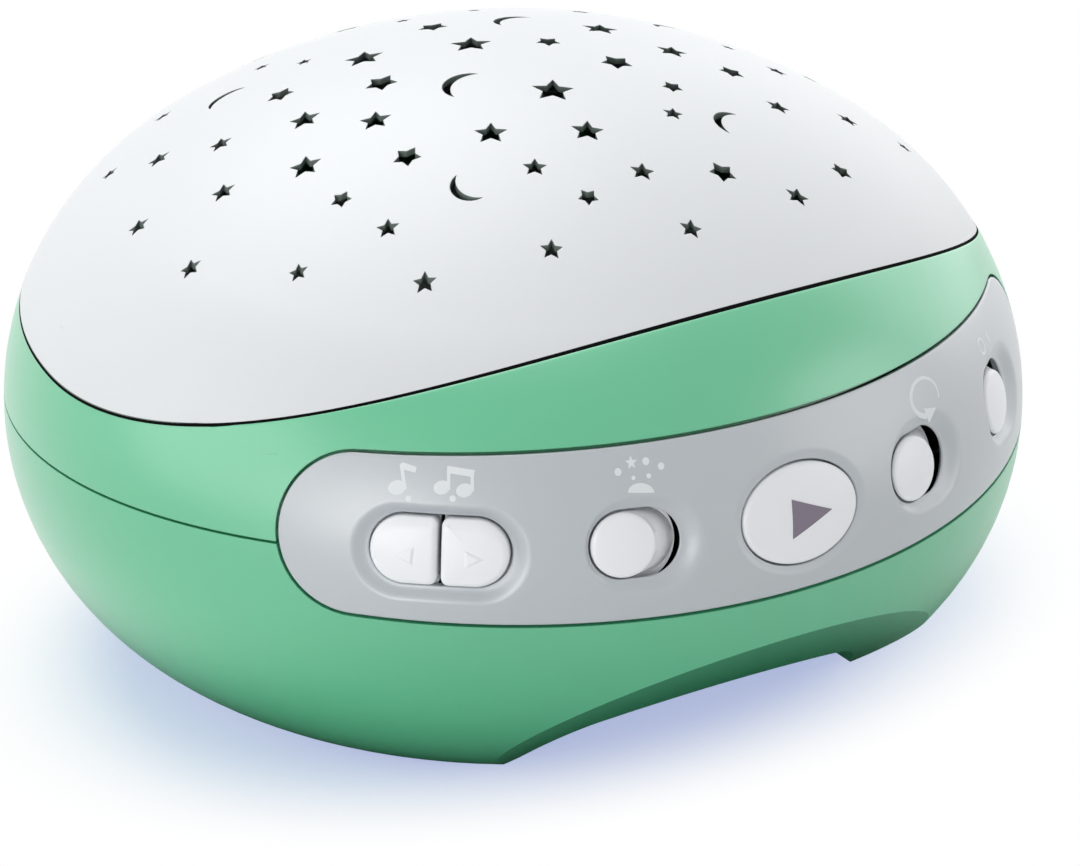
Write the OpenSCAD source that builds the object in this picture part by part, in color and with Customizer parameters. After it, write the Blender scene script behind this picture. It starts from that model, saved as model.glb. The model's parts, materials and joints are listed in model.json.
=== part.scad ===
// Table-top star projector: a perforated dome on a round housing with a wrap-around control panel.
// The origin is on the ground under the centre, +Z is up and the panel faces -Y.

/* [Body] */
// Largest diameter, at the equator
body_d = 160; // [150:1:180]
// Height of the equator above the ground
equator_h = 38.5; // [37:0.5:44]
// Height of the dome's top above the equator
dome_rise = 56.3; // [52:0.1:64]
// Radius of the rounded shoulder above the equator
shoulder_r = 45; // [42:0.5:48]
// Radius of the bowl below the equator
bowl_r = 41.5; // [41:0.5:46]
// Wall thickness of the housings
wall = 2.4; // [2:0.1:3]
// Wall thickness of the dome
dome_wall = 1; // [0.8:0.1:1.6]
// Thickness of the dome's rim with its tongue
dome_rim_t = 3.4; // [3.2:0.1:4]
// Visible gap between two shells
shell_gap = 0.4; // [0.3:0.05:0.8]

/* [Parting lines] */
// Height of the dome's rim above the equator, at the sides and the back
rim_z = 18.5; // [16:0.5:22]
// Radius of the sweep that lifts the rim towards the front
rim_sweep_r = 125; // [110:1:160]
// Length of the tongue that the dome sets inside the upper housing
tongue_l = 2; // [1.6:0.1:2.2]
// Height of the seam between the housings above the equator, on the axis
seam_z = 4.4; // [2:0.1:6]
// Tilt of the seam, higher at the front
seam_tilt = 4; // [2:0.5:6]

/* [Feet] */
// Height of the arch between the feet
arch_h = 12; // [8:0.5:15]
// Radius of the arch's crown
arch_r = 140; // [120:5:200]
// Radius of the arch's shoulders
arch_corner_r = 12; // [11:0.5:13]
// Half width of the arch across its shoulders
arch_half_w = 31.5; // [31:0.5:33]
// Radius of the rounding between the arch and the ground
foot_r = 6; // [5:0.5:7]
// Height of the crease where the bevel starts, at the front centre
bevel_h = 27.7; // [22:0.1:32]
// Slope of the bevel below horizontal
bevel_angle = 40; // [34:1:46]
// Diameter of a rubber pad
pad_d = 8; // [5:0.5:9]
// Thickness of a rubber pad
pad_t = 2; // [1.5:0.1:3]
// How far a rubber pad stands out of the foot
pad_proud = 0.6; // [0.3:0.1:1]
// Side distance of the rubber pads
pad_x = 43; // [41:0.5:44]
// Front and back distance of the rubber pads
pad_y = 25; // [24:0.5:26]

/* [Control panel] */
// Height of the panel's top edge above the equator, at the front
panel_top = 24.2; // [21:0.1:26]
// Height of the panel's bottom edge above the equator, at the front
panel_bottom = -2.3; // [-4:0.1:-2]
// Tilt of the panel's bottom edge, lower at the front
panel_bottom_tilt = 0.5; // [0.5:0.5:2]
// Direction of the centre of the panel's round ends, from the front
panel_half_angle = 50.5; // [50:0.5:53]
// Height of the row of controls above the equator
control_z = 9.6; // [9:0.1:10.5]
// Width of the housings' ledge behind the panel
ledge_w = 1; // [0.8:0.1:1.1]
// Thickness of that ledge
ledge_t = 1.8; // [1.2:0.1:2.5]
// Depth of the flat pads behind the controls
pad_depth = 3.4; // [3.3:0.1:4]
// Depth of the soft dish around a control
dish_depth = 1.1; // [0.8:0.1:1.3]
// Width of that dish beyond the opening
dish_rim = 2.4; // [1.5:0.1:3]

/* [Keys] */
// Direction of the pair of track keys from the front
keys_angle = -40.5; // [-42:0.5:-40]
// Length of the pair of track keys
keys_l = 21.6; // [18:0.1:23]
// Height of the track keys
keys_h = 11; // [9:0.1:12]
// Gap between the two track keys
keys_split = 0.6; // [0.5:0.1:1]
// Direction of the play button from the front
play_angle = 0.5; // [0:0.5:1]
// Width of the play button
play_w = 20.5; // [17:0.1:22]
// Height of the play button
play_h = 15.3; // [13:0.1:16]
// Travel of a key
key_travel = 0.8; // [0.5:0.1:1]
// How far a key stands out of the panel
key_proud = 0.5; // [0:0.1:1]
// Clearance around a key, and behind its flange
key_gap = 0.3; // [0.3:0.05:0.5]
// Width of the flange that keeps a key in its opening
key_flange = 0.9; // [0.6:0.1:1.2]
// Thickness of that flange
key_flange_t = 1.2; // [0.8:0.1:1.5]

/* [Sliders] */
// Direction of the projector slider from the front
projector_angle = -19.5; // [-20:0.5:-19]
// Direction of the loop slider from the front
loop_angle = 19; // [18.5:0.5:20]
// Direction of the power slider from the front
power_angle = 39.5; // [39:0.5:42]
// Diameter of a slider's knob
knob_d = 10; // [8:0.1:11]
// Length of a slider's slot
slot_l = 14.2; // [13:0.1:14.5]
// Travel of a slider
slider_travel = 1.8; // [1:0.1:2.4]
// How far a knob stands out of the panel
knob_proud = 0.1; // [0:0.1:1.5]
// Depth of the step between the knob and its ramp
ramp_depth = 1.6; // [1:0.1:2.4]
// Radius of the knob's rounded edge
knob_edge = 0.5; // [0.2:0.1:0.8]
// Length of the plate behind the slot
slider_plate_l = 14; // [12:0.1:15]
// Height of that plate
slider_plate_h = 13; // [12:0.1:14]
// Thickness of that plate
slider_plate_t = 1.5; // [1:0.1:1.8]
// Width of a switch lever
lever_w = 2; // [1.5:0.1:2.4]

/* [Switches] */
// Depth of the switch boards behind the panel's face
board_depth = 13; // [12.5:0.1:14]
// Thickness of the circuit boards
board_t = 1.6; // [1:0.1:2]
// Height of a switch body above its board
switch_h = 3.5; // [3:0.1:3.8]
// Radius of the posts that carry the switch boards
post_r = 1.5; // [1.4:0.1:1.6]
// Distance of the posts above and below the keys and the sliders
post_y = 8.4; // [8.35:0.05:8.5]

/* [Dome holes] */
// Size of the holes as a part of the drawn size
hole_scale = 1; // [0.7:0.05:1.1]
// Inner radius of a star as a part of its outer radius
star_waist = 0.48; // [0.38:0.02:0.6]
// Direction of a star's top point, seen from above
star_turn = -33; // [-45:1:45]
// Inner radius of a turned star as a part of its outer radius
turned_star_waist = 0.58; // [0.4:0.02:0.66]

/* [Light deck] */
// Height of the shelf for the light deck above the equator
shelf_z = 10; // [9:0.5:11]
// Inner radius of the shelf
shelf_r = 59; // [58.5:0.5:60]
// Radius of the light deck
deck_r = 65; // [64.5:0.5:67]
// Thickness of the light deck and its shelf
deck_t = 2; // [1.6:0.1:2.4]
// Radius of the lamp board
led_board_r = 13; // [10:0.5:16]

/* [Power and sound] */
// Diameter of a battery
cell_d = 14.2; // [13.8:0.1:14.5]
// Length of a battery
cell_l = 50; // [48:0.5:50.5]
// Wall of the battery box
box_wall = 1.6; // [1.2:0.1:2]
// Room at each end of a battery
cell_room = 2.5; // [2:0.1:3]
// Front of the battery box, in front of the axis
box_y = -4; // [-4.5:0.5:-3.5]
// Length of the door's lug in front of the battery box
door_lug = 8; // [7:0.5:8.5]
// Diameter of the speaker
speaker_d = 40; // [36:0.5:42]
// Depth of the speaker
speaker_h = 14; // [10:0.5:16]
// Distance of the speaker in front of the axis
speaker_y = 33; // [32.5:0.5:34]
// Width of the main board
main_board_w = 60; // [50:1:66]
// Length of the main board
main_board_l = 50; // [44:1:56]

/* [Screws] */
// Radius of a small screw's thread
screw_r = 1; // [0.8:0.05:1.2]
// Radius of a small screw's head
screw_head_r = 1.9; // [1.6:0.1:2.2]
// Height of a small screw's head
screw_head_h = 1.3; // [1:0.1:1.6]
// Radius of a housing screw's thread
long_screw_r = 1.5; // [1.2:0.1:1.8]
// Length of a housing screw
long_screw_l = 28; // [24:1:32]
// Side distance of the housing screws
column_x = 48.5; // [48:0.5:50]
// Front and back distance of the housing screws
column_y = 15; // [13:0.5:16]
// Radius of the columns for the housing screws
column_r = 5; // [4.5:0.1:5.5]

/* [Hidden] */
$fn = 180;
// Clearance of a screw in the hole that it passes
screw_gap = 0.15;
// Overlap that joins the pieces of one solid
lap = 0.6;
// Clearance between a piece and the seat that it rests on
seat_gap = 0.15;
big = 3 * body_d;
body_r = body_d / 2;
shoulder_c = body_r - shoulder_r;
bowl_c = body_r - bowl_r;
crown_r = (pow(shoulder_c, 2) + pow(dome_rise, 2) - pow(shoulder_r, 2)) / (2 * (dome_rise - shoulder_r));
crown_z = dome_rise - crown_r;
foot_z = pad_proud;
bevel_y = bowl_c + sqrt(pow(bowl_r, 2) - pow(equator_h - bevel_h, 2));

// The panel's outline
panel_t = wall;
panel_y = shoulder_c + sqrt(pow(shoulder_r, 2) - pow(control_z, 2));
panel_top_r = shoulder_c + sqrt(pow(shoulder_r, 2) - pow(panel_top, 2));
end_top = panel_top - (panel_y - panel_top_r * cos(panel_half_angle)) * tan(seam_tilt);
end_bottom = panel_bottom + (panel_y - body_r * cos(panel_half_angle)) * tan(panel_bottom_tilt);
end_r = (end_top - end_bottom) / 2;
end_z = (end_top + end_bottom) / 2;

// The controls, measured inwards from the panel's face
control_tilt = asin(control_z / shoulder_r);
flange_depth = pad_depth + key_gap;
key_back = flange_depth + key_flange_t;
tact_top = board_depth - switch_h;
plunger_h = 0.9;
key_post_depth = tact_top - plunger_h - key_gap - key_travel;
slot_h = knob_d + 2 * key_gap;
slider_rest = (slot_l - slot_h) / 2;
ramp_l = slot_l - slot_h - slider_travel - key_gap;
plate_back = flange_depth + slider_plate_t;
fork_depth = tact_top - key_gap;
keys_hole_l = keys_l + 2 * key_gap;
keys_hole_h = keys_h + 2 * key_gap;
play_hole_w = play_w + 2 * key_gap;
play_hole_h = play_h + 2 * key_gap;
slider_angles = [projector_angle, loop_angle, power_angle];
play_post_x = play_w / 2 + key_flange + post_r + 0.5;
board_margin = 2;
flange_margin = 0.8;
keys_pad_w = keys_l + 2 * key_flange + 2 * flange_margin;
keys_pad_h = keys_h + 2 * key_flange + 2 * flange_margin;
play_pad_w = play_w + 2 * key_flange + 2 * flange_margin;
play_pad_h = play_h + 2 * key_flange + 2 * flange_margin;
slider_pad_w = slider_plate_l + 2 * slider_rest + 2 * flange_margin;
slider_pad_h = slider_plate_h + 2 * flange_margin;
// Direction, width and height of the flat pad, side and upright distances of the posts, of each switch board
boards = concat(
    [[keys_angle, keys_pad_w, keys_pad_h, 0, post_y], [play_angle, play_pad_w, play_pad_h, play_post_x, 0]],
    [for (a = slider_angles) [a, slider_pad_w, slider_pad_h, 0, post_y]]
);
slider_board_w = 11;
keys_board_w = 20;
play_board_h = 12;
// Width and height of each switch board
board_sizes = concat(
    [[keys_board_w, 2 * (post_y + board_margin)], [2 * (play_post_x + post_r), play_board_h]],
    [for (a = slider_angles) [slider_board_w, 2 * (post_y + board_margin)]]
);
// Direction and side offset of each push switch
tact_places = [[keys_angle, -keys_l / 4], [keys_angle, keys_l / 4], [play_angle, 0]];

// Rows of dome holes, seen from above: distance from the axis, size and directions
star_rows = [
    [9, 6.7, [-166]],
    [13, 6.8, [-5]],
    [22, 6, [109]],
    [24, 5.3, [-41]],
    [24, 6.4, [-138]],
    [25, 5.3, [-6]],
    [27, 5.1, [-84, 81]],
    [28, 3.3, [28]],
    [32, 3.9, [-27]],
    [33, 2.6, [179, 158]],
    [34, 5, [-103]],
    [35, 2.6, [-144]],
    [36, 3.9, [0, 130]],
    [40, 5.1, [-85]],
    [41, 3.9, [57]],
    [43, 2.6, [95]],
    [44, 5.4, [-176]],
    [44, 2.7, [-149, 150]],
    [46, 3.6, [-57, -111, 83, 122]],
    [48, 3.6, [-26, 1, 168]],
    [50, 3.8, [27, -95]],
    [53, 3.5, [67, 108, -163]],
    [54, 3.7, [-47, 138]],
    [55, 3.6, [-119]],
    [56, 3, [-68, 90]],
    [58, 3, [-141, 157]],
    [61, 3.3, [-103, -86, 120]],
    [63, 2.6, [-126, 70, 176]]
];
// Stars that are turned against the others
turned_star_rows = [
    [9, 4, [110]],
    [16, 5.2, [60]],
    [21, 5.2, [-108]],
    [22, 4.9, [-178]],
    [25, 3.4, [46]],
    [32, 4.5, [-63]],
    [35, 4.2, [71]],
    [36, 4.4, [-123]],
    [39, 3.3, [-16]],
    [41, 4.4, [18]],
    [43, 3.3, [-70]],
    [52, 3.4, [43]]
];
turned_star_angle = 40;
// Crescents: distance from the axis, size, direction and direction of the hollow side
moon_rows = [
    [12, 8, -68, 30],
    [19, 7.6, 145, 20],
    [36, 6.6, 38, 47],
    [36, 6.4, -43, 96],
    [40, 6.2, 108, 20],
    [45, 6.4, -133, 0]
];
dome_band_h = 3;

// The inside
deck_z = equator_h + shelf_z;
shelf_front = -26;
led_z = deck_z + deck_t;
column_head_z = deck_z + deck_t + 3 - long_screw_l;
counterbore_r = 3.4;
deck_screw_r = (shelf_r + deck_r) / 2;
deck_screw_angles = [85, 140, 220, 275];
boss_h = 6;
main_board_z = deck_z - boss_h - board_t;
main_screw_x = main_board_w / 2 - 4;
main_screw_y = main_board_l / 2 - 4;
cells = 3;
box_l = cell_l + 2 * cell_room + 2 * box_wall;
box_w = cells * (cell_d + 0.6) + 2 * box_wall;
box_z = arch_h + wall + seat_gap;
box_h = cell_d + 2 + box_wall;
ear_l = 6;
ear_w = 8;
ear_z = 14.5;
ear_y = box_y + box_l / 2;
door_gap = 0.3;
door_w = box_w - 2 * box_wall;
door_front = box_y + box_wall - door_lug;
door_l = box_l - 2 * box_wall + door_lug;
lug_w = 12;
lug_h = 6;
door_screw_y = box_y - door_lug / 2 + box_wall / 2;
speaker_seat_z = arch_h + wall + 1.5;
speaker_ring_w = 2.5;
speaker_rim_t = 2;
clamp_t = 1.2;
clamp_w = 6;
clamp_post_r = 2.6;
clamp_post_x = speaker_d / 2 + clamp_post_r + 0.9;
box_screw_l = 5;

green = "#79bd97";
cool_white = "#e8eaee";
panel_grey = "#b0b4ba";
board_green = "#2f6b45";
steel = "#b8babd";
black = "#2b2d30";

// Half section of the body, drawn in by an inset, with the equator at zero
module body_section(inset) {
    ray = [shoulder_c, -crown_z] * (2 * body_r / shoulder_c);
    intersection() {
        translate([0, crown_z])
            circle(crown_r - inset);
        polygon([[0, 0], [shoulder_c, 0], [ray[0], ray[1] + crown_z], [0, big]]);
    }
    intersection() {
        translate([shoulder_c, 0])
            circle(shoulder_r - inset);
        square(big);
    }
    intersection() {
        translate([bowl_c, 0])
            circle(bowl_r - inset);
        translate([0, foot_z + inset - equator_h])
            square([big, equator_h - foot_z - inset]);
    }
    translate([0, foot_z + inset - equator_h])
        square([bowl_c, equator_h - foot_z - inset + lap]);
}

// The whole body without the arch, drawn in by an inset
module body_form(inset) {
    translate([0, 0, equator_h])
        rotate_extrude()
            body_section(inset);
}

// The part of the body's skin between two depths
module skin(outer, inner) {
    translate([0, 0, equator_h])
        rotate_extrude()
            difference() {
                body_section(outer);
                body_section(inner);
            }
}

// The hollow under the arch: a flat crown, rounded shoulders and a flared foot, widened by a growth
module arch_form(growth) {
    corner_x = arch_half_w - arch_corner_r;
    corner_z = arch_h - arch_r + sqrt(pow(arch_r - arch_corner_r, 2) - pow(corner_x, 2));
    shoulder_x = corner_x * arch_r / (arch_r - arch_corner_r);
    foot_rise = foot_z + foot_r - corner_z;
    foot_x = corner_x + sqrt(pow(arch_corner_r + foot_r, 2) - pow(foot_rise, 2));
    flare_z = corner_z + foot_rise * (arch_corner_r + growth) / (arch_corner_r + foot_r);
    rotate([90, 0, 0])
        linear_extrude(big, center = true) {
            intersection() {
                translate([0, arch_h - arch_r])
                    circle(arch_r + growth);
                translate([-shoulder_x, -big / 2])
                    square([2 * shoulder_x, big]);
            }
            for (side = [-1, 1])
                translate([side * corner_x, corner_z])
                    circle(arch_corner_r + growth);
            difference() {
                translate([-foot_x, flare_z - big / 2])
                    square([2 * foot_x, big / 2]);
                for (side = [-1, 1])
                    translate([side * foot_x, foot_z + foot_r])
                        circle(foot_r - growth);
            }
        }
}

// The bowl with its arch and bevels, drawn in by an inset
module bowl_form(inset) {
    difference() {
        body_form(inset);
        arch_form(inset);
        for (turn = [0, 180])
            rotate([0, 0, turn])
                translate([0, -bevel_y, bevel_h])
                    rotate([-bevel_angle, 0, 0])
                        translate([-big / 2, -big / 2, inset - big])
                            cube(big);
    }
}

// Everything above the seam between the housings, raised by a lift
module above_seam(lift) {
    translate([0, 0, equator_h + seam_z])
        rotate([-seam_tilt, 0, 0])
            translate([-big / 2, -big / 2, lift])
                cube(big);
}

// Everything above the dome's rim line, raised by a lift
module above_rim(lift) {
    translate([-big / 2, 0, equator_h + rim_z + lift])
        rotate([90, 0, 90])
            linear_extrude(big) {
                translate([0, rim_sweep_r])
                    circle(rim_sweep_r);
                square(big / 2);
            }
}

// Wedge of directions up to the panel's round ends
module front_wedge() {
    x = big * sin(panel_half_angle);
    y = -big * cos(panel_half_angle);
    linear_extrude(big)
        polygon([[0, 0], [-x, y], [x, y]]);
}

// The panel's outline carried inwards, widened by a growth
module panel_outline(growth) {
    difference() {
        front_wedge();
        translate([0, -panel_y, equator_h + panel_top + growth])
            rotate([-seam_tilt, 0, 0])
                translate([-big / 2, -big / 2, 0])
                    cube(big);
        translate([0, -panel_y, equator_h + panel_bottom - growth])
            rotate([panel_bottom_tilt, 0, 0])
                translate([-big / 2, -big / 2, -big])
                    cube(big);
    }
    for (side = [-1, 1])
        rotate([0, 0, side * panel_half_angle])
            translate([0, 0, equator_h + end_z])
                rotate([90, 0, 0])
                    cylinder(r = end_r + growth, h = body_d);
}

// Frame behind the panel's edge: a lip from the wall and a ledge under the panel
module panel_frame() {
    lip = 1.2;
    intersection() {
        skin(wall - lap, wall + seat_gap + ledge_t);
        difference() {
            panel_outline(shell_gap + lip);
            panel_outline(shell_gap);
        }
    }
    intersection() {
        skin(wall + seat_gap, wall + seat_gap + ledge_t);
        difference() {
            panel_outline(shell_gap + lip);
            panel_outline(-ledge_w);
        }
    }
}

// Place of a control: its face at zero, +Z outwards, +X to the right and +Y up the panel
module at_control(angle) {
    translate([0, 0, equator_h])
        rotate([0, 0, angle])
            translate([0, -shoulder_c, 0])
                rotate([90 - control_tilt, 0, 0])
                    translate([0, 0, shoulder_r])
                        children();
}

// Block between two depths behind the panel's face
module behind(near, far) {
    translate([0, 0, -far])
        linear_extrude(far - near)
            children();
}

module stadium(l, h) {
    square([l - h, h], center = true);
    for (side = [-1, 1])
        translate([side * (l - h) / 2, 0])
            circle(h / 2);
}

module oval(w, h) {
    scale([w / h, 1])
        circle(h / 2);
}

// Soft dish in the panel's face: a round groove with round ends
module dish(angle, l, h) {
    dish_r = 1 / (2 * (dish_depth / pow(h / 2, 2) - 1 / (2 * shoulder_r)));
    at_control(angle)
        translate([0, 0, dish_r - dish_depth]) {
            rotate([0, 90, 0])
                cylinder(r = dish_r, h = l - h, center = true);
            for (side = [-1, 1])
                translate([side * (l - h) / 2, 0, 0])
                    sphere(dish_r);
        }
}

// Screw with its head's seat at zero, the head above and the thread below
module screw(r, l, head_r, head_h) {
    slot_w = head_r * 0.3;
    translate([0, 0, -l])
        cylinder(r = r, h = l + lap / 2);
    difference() {
        cylinder(r = head_r, h = head_h);
        for (turn = [0, 90])
            rotate([0, 0, turn])
                translate([0, 0, head_h])
                    cube([head_r * 1.3, slot_w, head_h], center = true);
    }
}

module small_screw(l) {
    screw(screw_r, l, screw_head_r, screw_head_h);
}

module star(d, waist) {
    r = d / 2;
    polygon([for (i = [0:9]) (i % 2 == 0 ? r : r * waist) * [cos(36 * i + 90), sin(36 * i + 90)]]);
}

module crescent(d) {
    difference() {
        circle(d / 2);
        translate([d * 0.28, 0])
            circle(d * 0.59);
    }
}

// Upright hole in the dome, at a distance from the axis and in a direction, with a turn of its own
module dome_hole(distance, direction, turn) {
    rotate([0, 0, direction])
        translate([0, -distance, equator_h + rim_z])
            rotate([0, 0, turn - direction])
                linear_extrude(body_r)
                    children();
}

module star_holes(rows, turn, waist) {
    for (row = rows, direction = row[2])
        dome_hole(row[0], direction, turn)
            star(row[1] * hole_scale, waist);
}

module dome_holes() {
    star_holes(star_rows, star_turn, star_waist);
    star_holes(turned_star_rows, star_turn + turned_star_angle, turned_star_waist);
    for (moon = moon_rows)
        dome_hole(moon[0], moon[2], moon[3] - 90)
            crescent(moon[1] * hole_scale);
}

// Everything above a level over the dome's rim, tilted up towards the front
module above_band(tilt) {
    translate([0, 0, equator_h + rim_z + dome_band_h])
        rotate([tilt, 0, 0])
            translate([-big / 2, -big / 2, 0])
                cube(big);
}

module dome_cover() {
    color(cool_white)
        difference() {
            intersection() {
                skin(0, dome_rim_t);
                above_rim(-tongue_l);
            }
            difference() {
                skin(-lap, wall + seat_gap);
                above_rim(shell_gap / 2);
            }
            intersection() {
                skin(dome_wall, dome_rim_t + lap);
                above_band(0);
                above_band(-asin(body_r / rim_sweep_r) / 2);
            }
            dome_holes();
        }
}

module deck_shelf() {
    intersection() {
        body_form(lap);
        difference() {
            translate([0, 0, deck_z - deck_t])
                cylinder(r = body_r, h = deck_t);
            translate([0, 0, deck_z - big / 2])
                cylinder(r = shelf_r, h = big);
            translate([-big / 2, shelf_front - big, deck_z - big / 2])
                cube(big);
        }
    }
}

module at_deck_screws() {
    for (angle = deck_screw_angles)
        rotate([0, 0, angle])
            translate([0, -deck_screw_r, deck_z])
                children();
}

module upper_housing() {
    color(green)
        difference() {
            union() {
                difference() {
                    intersection() {
                        skin(0, wall);
                        above_seam(shell_gap / 2);
                    }
                    above_rim(-shell_gap / 2);
                    panel_outline(shell_gap);
                }
                intersection() {
                    panel_frame();
                    above_seam(shell_gap / 2);
                }
                deck_shelf();
                at_deck_screws()
                    translate([0, 0, -boss_h])
                        cylinder(r = screw_head_r + 0.8, h = boss_h);
            }
            at_deck_screws()
                translate([0, 0, -boss_h - lap])
                    cylinder(r = screw_r, h = big);
        }
}

module at_columns() {
    for (sx = [-1, 1], sy = [-1, 1])
        translate([sx * column_x, sy * column_y, 0])
            children();
}

module at_pads() {
    for (sx = [-1, 1], sy = [-1, 1])
        translate([sx * pad_x, sy * pad_y, 0])
            children();
}

// Block around the battery door, widened by a growth
module door_block(growth) {
    translate([-door_w / 2 - growth, door_front - growth, 0])
        cube([door_w + 2 * growth, door_l + 2 * growth, box_z]);
}

module speaker_grille() {
    hole_r = 1.2;
    ring_step = 4;
    for (ring = [0:4], i = [0:max(0, 6 * ring - 1)])
        translate([0, -speaker_y, 0])
            rotate([0, 0, ring == 0 ? 0 : 60 * i / ring])
                translate([ring * ring_step, 0, 0])
                    cylinder(r = hole_r, h = big, center = true);
}

// What stands on the floor of the lower housing
module floor_posts() {
    at_columns()
        cylinder(r = column_r, h = deck_z);
    translate([0, -speaker_y, 0])
        difference() {
            cylinder(r = speaker_d / 2, h = speaker_seat_z);
            cylinder(r = speaker_d / 2 - speaker_ring_w, h = big, center = true);
        }
    at_clamp_posts()
        translate([0, 0, -speaker_seat_z])
            cylinder(r = clamp_post_r, h = speaker_seat_z + speaker_rim_t);
}

module lower_housing() {
    color(green)
        difference() {
            union() {
                difference() {
                    bowl_form(0);
                    above_seam(-shell_gap / 2);
                    bowl_form(wall);
                    panel_outline(shell_gap);
                }
                difference() {
                    panel_frame();
                    above_seam(-shell_gap / 2);
                }
                intersection() {
                    bowl_form(lap);
                    floor_posts();
                }
            }
            at_columns() {
                cylinder(r = long_screw_r + screw_gap, h = big);
                translate([0, 0, -lap])
                    cylinder(r = counterbore_r, h = column_head_z + lap);
            }
            at_pads()
                cylinder(r = pad_d / 2 + seat_gap, h = pad_t + seat_gap);
            at_clamp_posts()
                cylinder(r = screw_r, h = 2 * speaker_rim_t);
            at_box_screws()
                translate([0, 0, -box_screw_l])
                    cylinder(r = screw_r, h = big);
            speaker_grille();
            door_block(door_gap);
        }
}

// Places of the two posts of a switch board
module at_posts(board) {
    for (side = [-1, 1])
        at_control(board[0])
            translate([side * board[3], side * board[4], 0])
                children();
}

module control_panel() {
    color(panel_grey)
        difference() {
            union() {
                intersection() {
                    skin(0, panel_t);
                    panel_outline(0);
                }
                for (board = boards)
                    intersection() {
                        at_control(board[0])
                            behind(panel_t / 2, pad_depth)
                                square([board[1], board[2]], center = true);
                        body_form(panel_t / 2);
                    }
                for (board = boards)
                    at_posts(board)
                        behind(0.75 * panel_t, board_depth)
                            circle(post_r);
            }
            dish(keys_angle, keys_hole_l + 2 * dish_rim, keys_hole_h + 2 * dish_rim);
            dish(play_angle, play_hole_w + dish_rim, play_hole_h + dish_rim);
            for (a = slider_angles)
                dish(a, slot_l + 2 * dish_rim, slot_h + 2 * dish_rim);
            at_control(keys_angle)
                behind(-body_r / 2, pad_depth + lap)
                    stadium(keys_hole_l, keys_hole_h);
            at_control(play_angle)
                behind(-body_r / 2, pad_depth + lap)
                    oval(play_hole_w, play_hole_h);
            for (a = slider_angles)
                at_control(a)
                    behind(-body_r / 2, pad_depth + lap)
                        stadium(slot_l, slot_h);
            for (board = boards)
                at_posts(board)
                    behind(pad_depth + lap, board_depth + lap)
                        circle(screw_r);
        }
}

// One half of a stadium, on the left for side -1 and on the right for side 1
module half_stadium(l, h, side) {
    intersection() {
        stadium(l, h);
        translate([side * (keys_split / 2 + l / 2), 0])
            square([l, 2 * h], center = true);
    }
}

module track_key(side) {
    intersection() {
        at_control(keys_angle)
            behind(-body_r / 2, key_back)
                half_stadium(keys_l, keys_h, side);
        body_form(-key_proud);
    }
    at_control(keys_angle) {
        behind(flange_depth, key_back)
            half_stadium(keys_l + 2 * key_flange, keys_h + 2 * key_flange, side);
        behind(key_back - lap, key_post_depth)
            translate([side * keys_l / 4, 0])
                circle(1.5);
    }
}

module previous_key() {
    color(cool_white)
        track_key(-1);
}

module next_key() {
    color(cool_white)
        track_key(1);
}

module play_button() {
    color(cool_white) {
        intersection() {
            at_control(play_angle)
                behind(-body_r / 2, key_back)
                    oval(play_w, play_h);
            body_form(0);
        }
        at_control(play_angle) {
            behind(flange_depth, key_back)
                oval(play_w + 2 * key_flange, play_h + 2 * key_flange);
            behind(key_back - lap, key_post_depth)
                circle(1.5);
        }
    }
}

// Slope from the knob's step down to the plate
module knob_ramp() {
    knob_r = knob_d / 2;
    intersection() {
        rotate([90, 0, 0])
            linear_extrude(knob_d, center = true)
                polygon([
                    [0, -plate_back],
                    [0, -ramp_depth],
                    [knob_r, -ramp_depth],
                    [knob_r + ramp_l, -flange_depth],
                    [knob_r + ramp_l, -plate_back]
                ]);
        translate([ramp_l, 0, -plate_back])
            cylinder(r = knob_r, h = plate_back);
    }
}

// Round knob standing on a plate that runs behind the slot, with a fork for the switch lever
module slider(angle) {
    color(cool_white)
        at_control(angle)
            translate([-slider_rest, 0, 0])
                difference() {
                    union() {
                        translate([0, 0, -plate_back])
                            rotate_extrude() {
                                square([knob_d / 2, plate_back + knob_proud - knob_edge]);
                                square([knob_d / 2 - knob_edge, plate_back + knob_proud]);
                                translate([knob_d / 2 - knob_edge, plate_back + knob_proud - knob_edge])
                                    circle(knob_edge);
                            }
                        knob_ramp();
                        behind(flange_depth, plate_back)
                            square([slider_plate_l, slider_plate_h], center = true);
                        behind(plate_back - lap, fork_depth)
                            square([3 * lever_w, 2 * lever_w], center = true);
                    }
                    behind(plate_back + lap, board_depth)
                        square([lever_w, lever_w], center = true);
                }
}

module projector_slider() {
    slider(slider_angles[0]);
}

module loop_slider() {
    slider(slider_angles[1]);
}

module power_slider() {
    slider(slider_angles[2]);
}

module lever(angle) {
    color(black)
        at_control(angle)
            translate([-slider_rest, 0, 0])
                behind(plate_back + lap, tact_top + 1)
                    square([lever_w, lever_w], center = true);
}

module projector_lever() {
    lever(slider_angles[0]);
}

module loop_lever() {
    lever(slider_angles[1]);
}

module power_lever() {
    lever(slider_angles[2]);
}

module push_switches() {
    color(black)
        for (place = tact_places)
            at_control(place[0])
                translate([place[1], 0, 0]) {
                    behind(tact_top, board_depth)
                        square(6, center = true);
                    behind(tact_top - plunger_h, tact_top + lap)
                        circle(1.7);
                }
}

module slide_switches() {
    color(steel)
        for (a = slider_angles)
            at_control(a)
                translate([slider_travel / 2 - slider_rest, 0, 0])
                    difference() {
                        behind(tact_top, board_depth)
                            square([lever_w + slider_travel + 4, 6], center = true);
                        behind(tact_top - lap, board_depth - 1)
                            square([lever_w + slider_travel + 2 * key_gap, lever_w + 2 * key_gap], center = true);
                    }
}

module switch_boards() {
    color(board_green)
        for (i = [0:len(boards) - 1])
            difference() {
                at_control(boards[i][0])
                    behind(board_depth, board_depth + board_t)
                        square(board_sizes[i], center = true);
                at_posts(boards[i])
                    behind(board_depth - lap, board_depth + board_t + lap)
                        circle(screw_r + screw_gap);
            }
}

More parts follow.
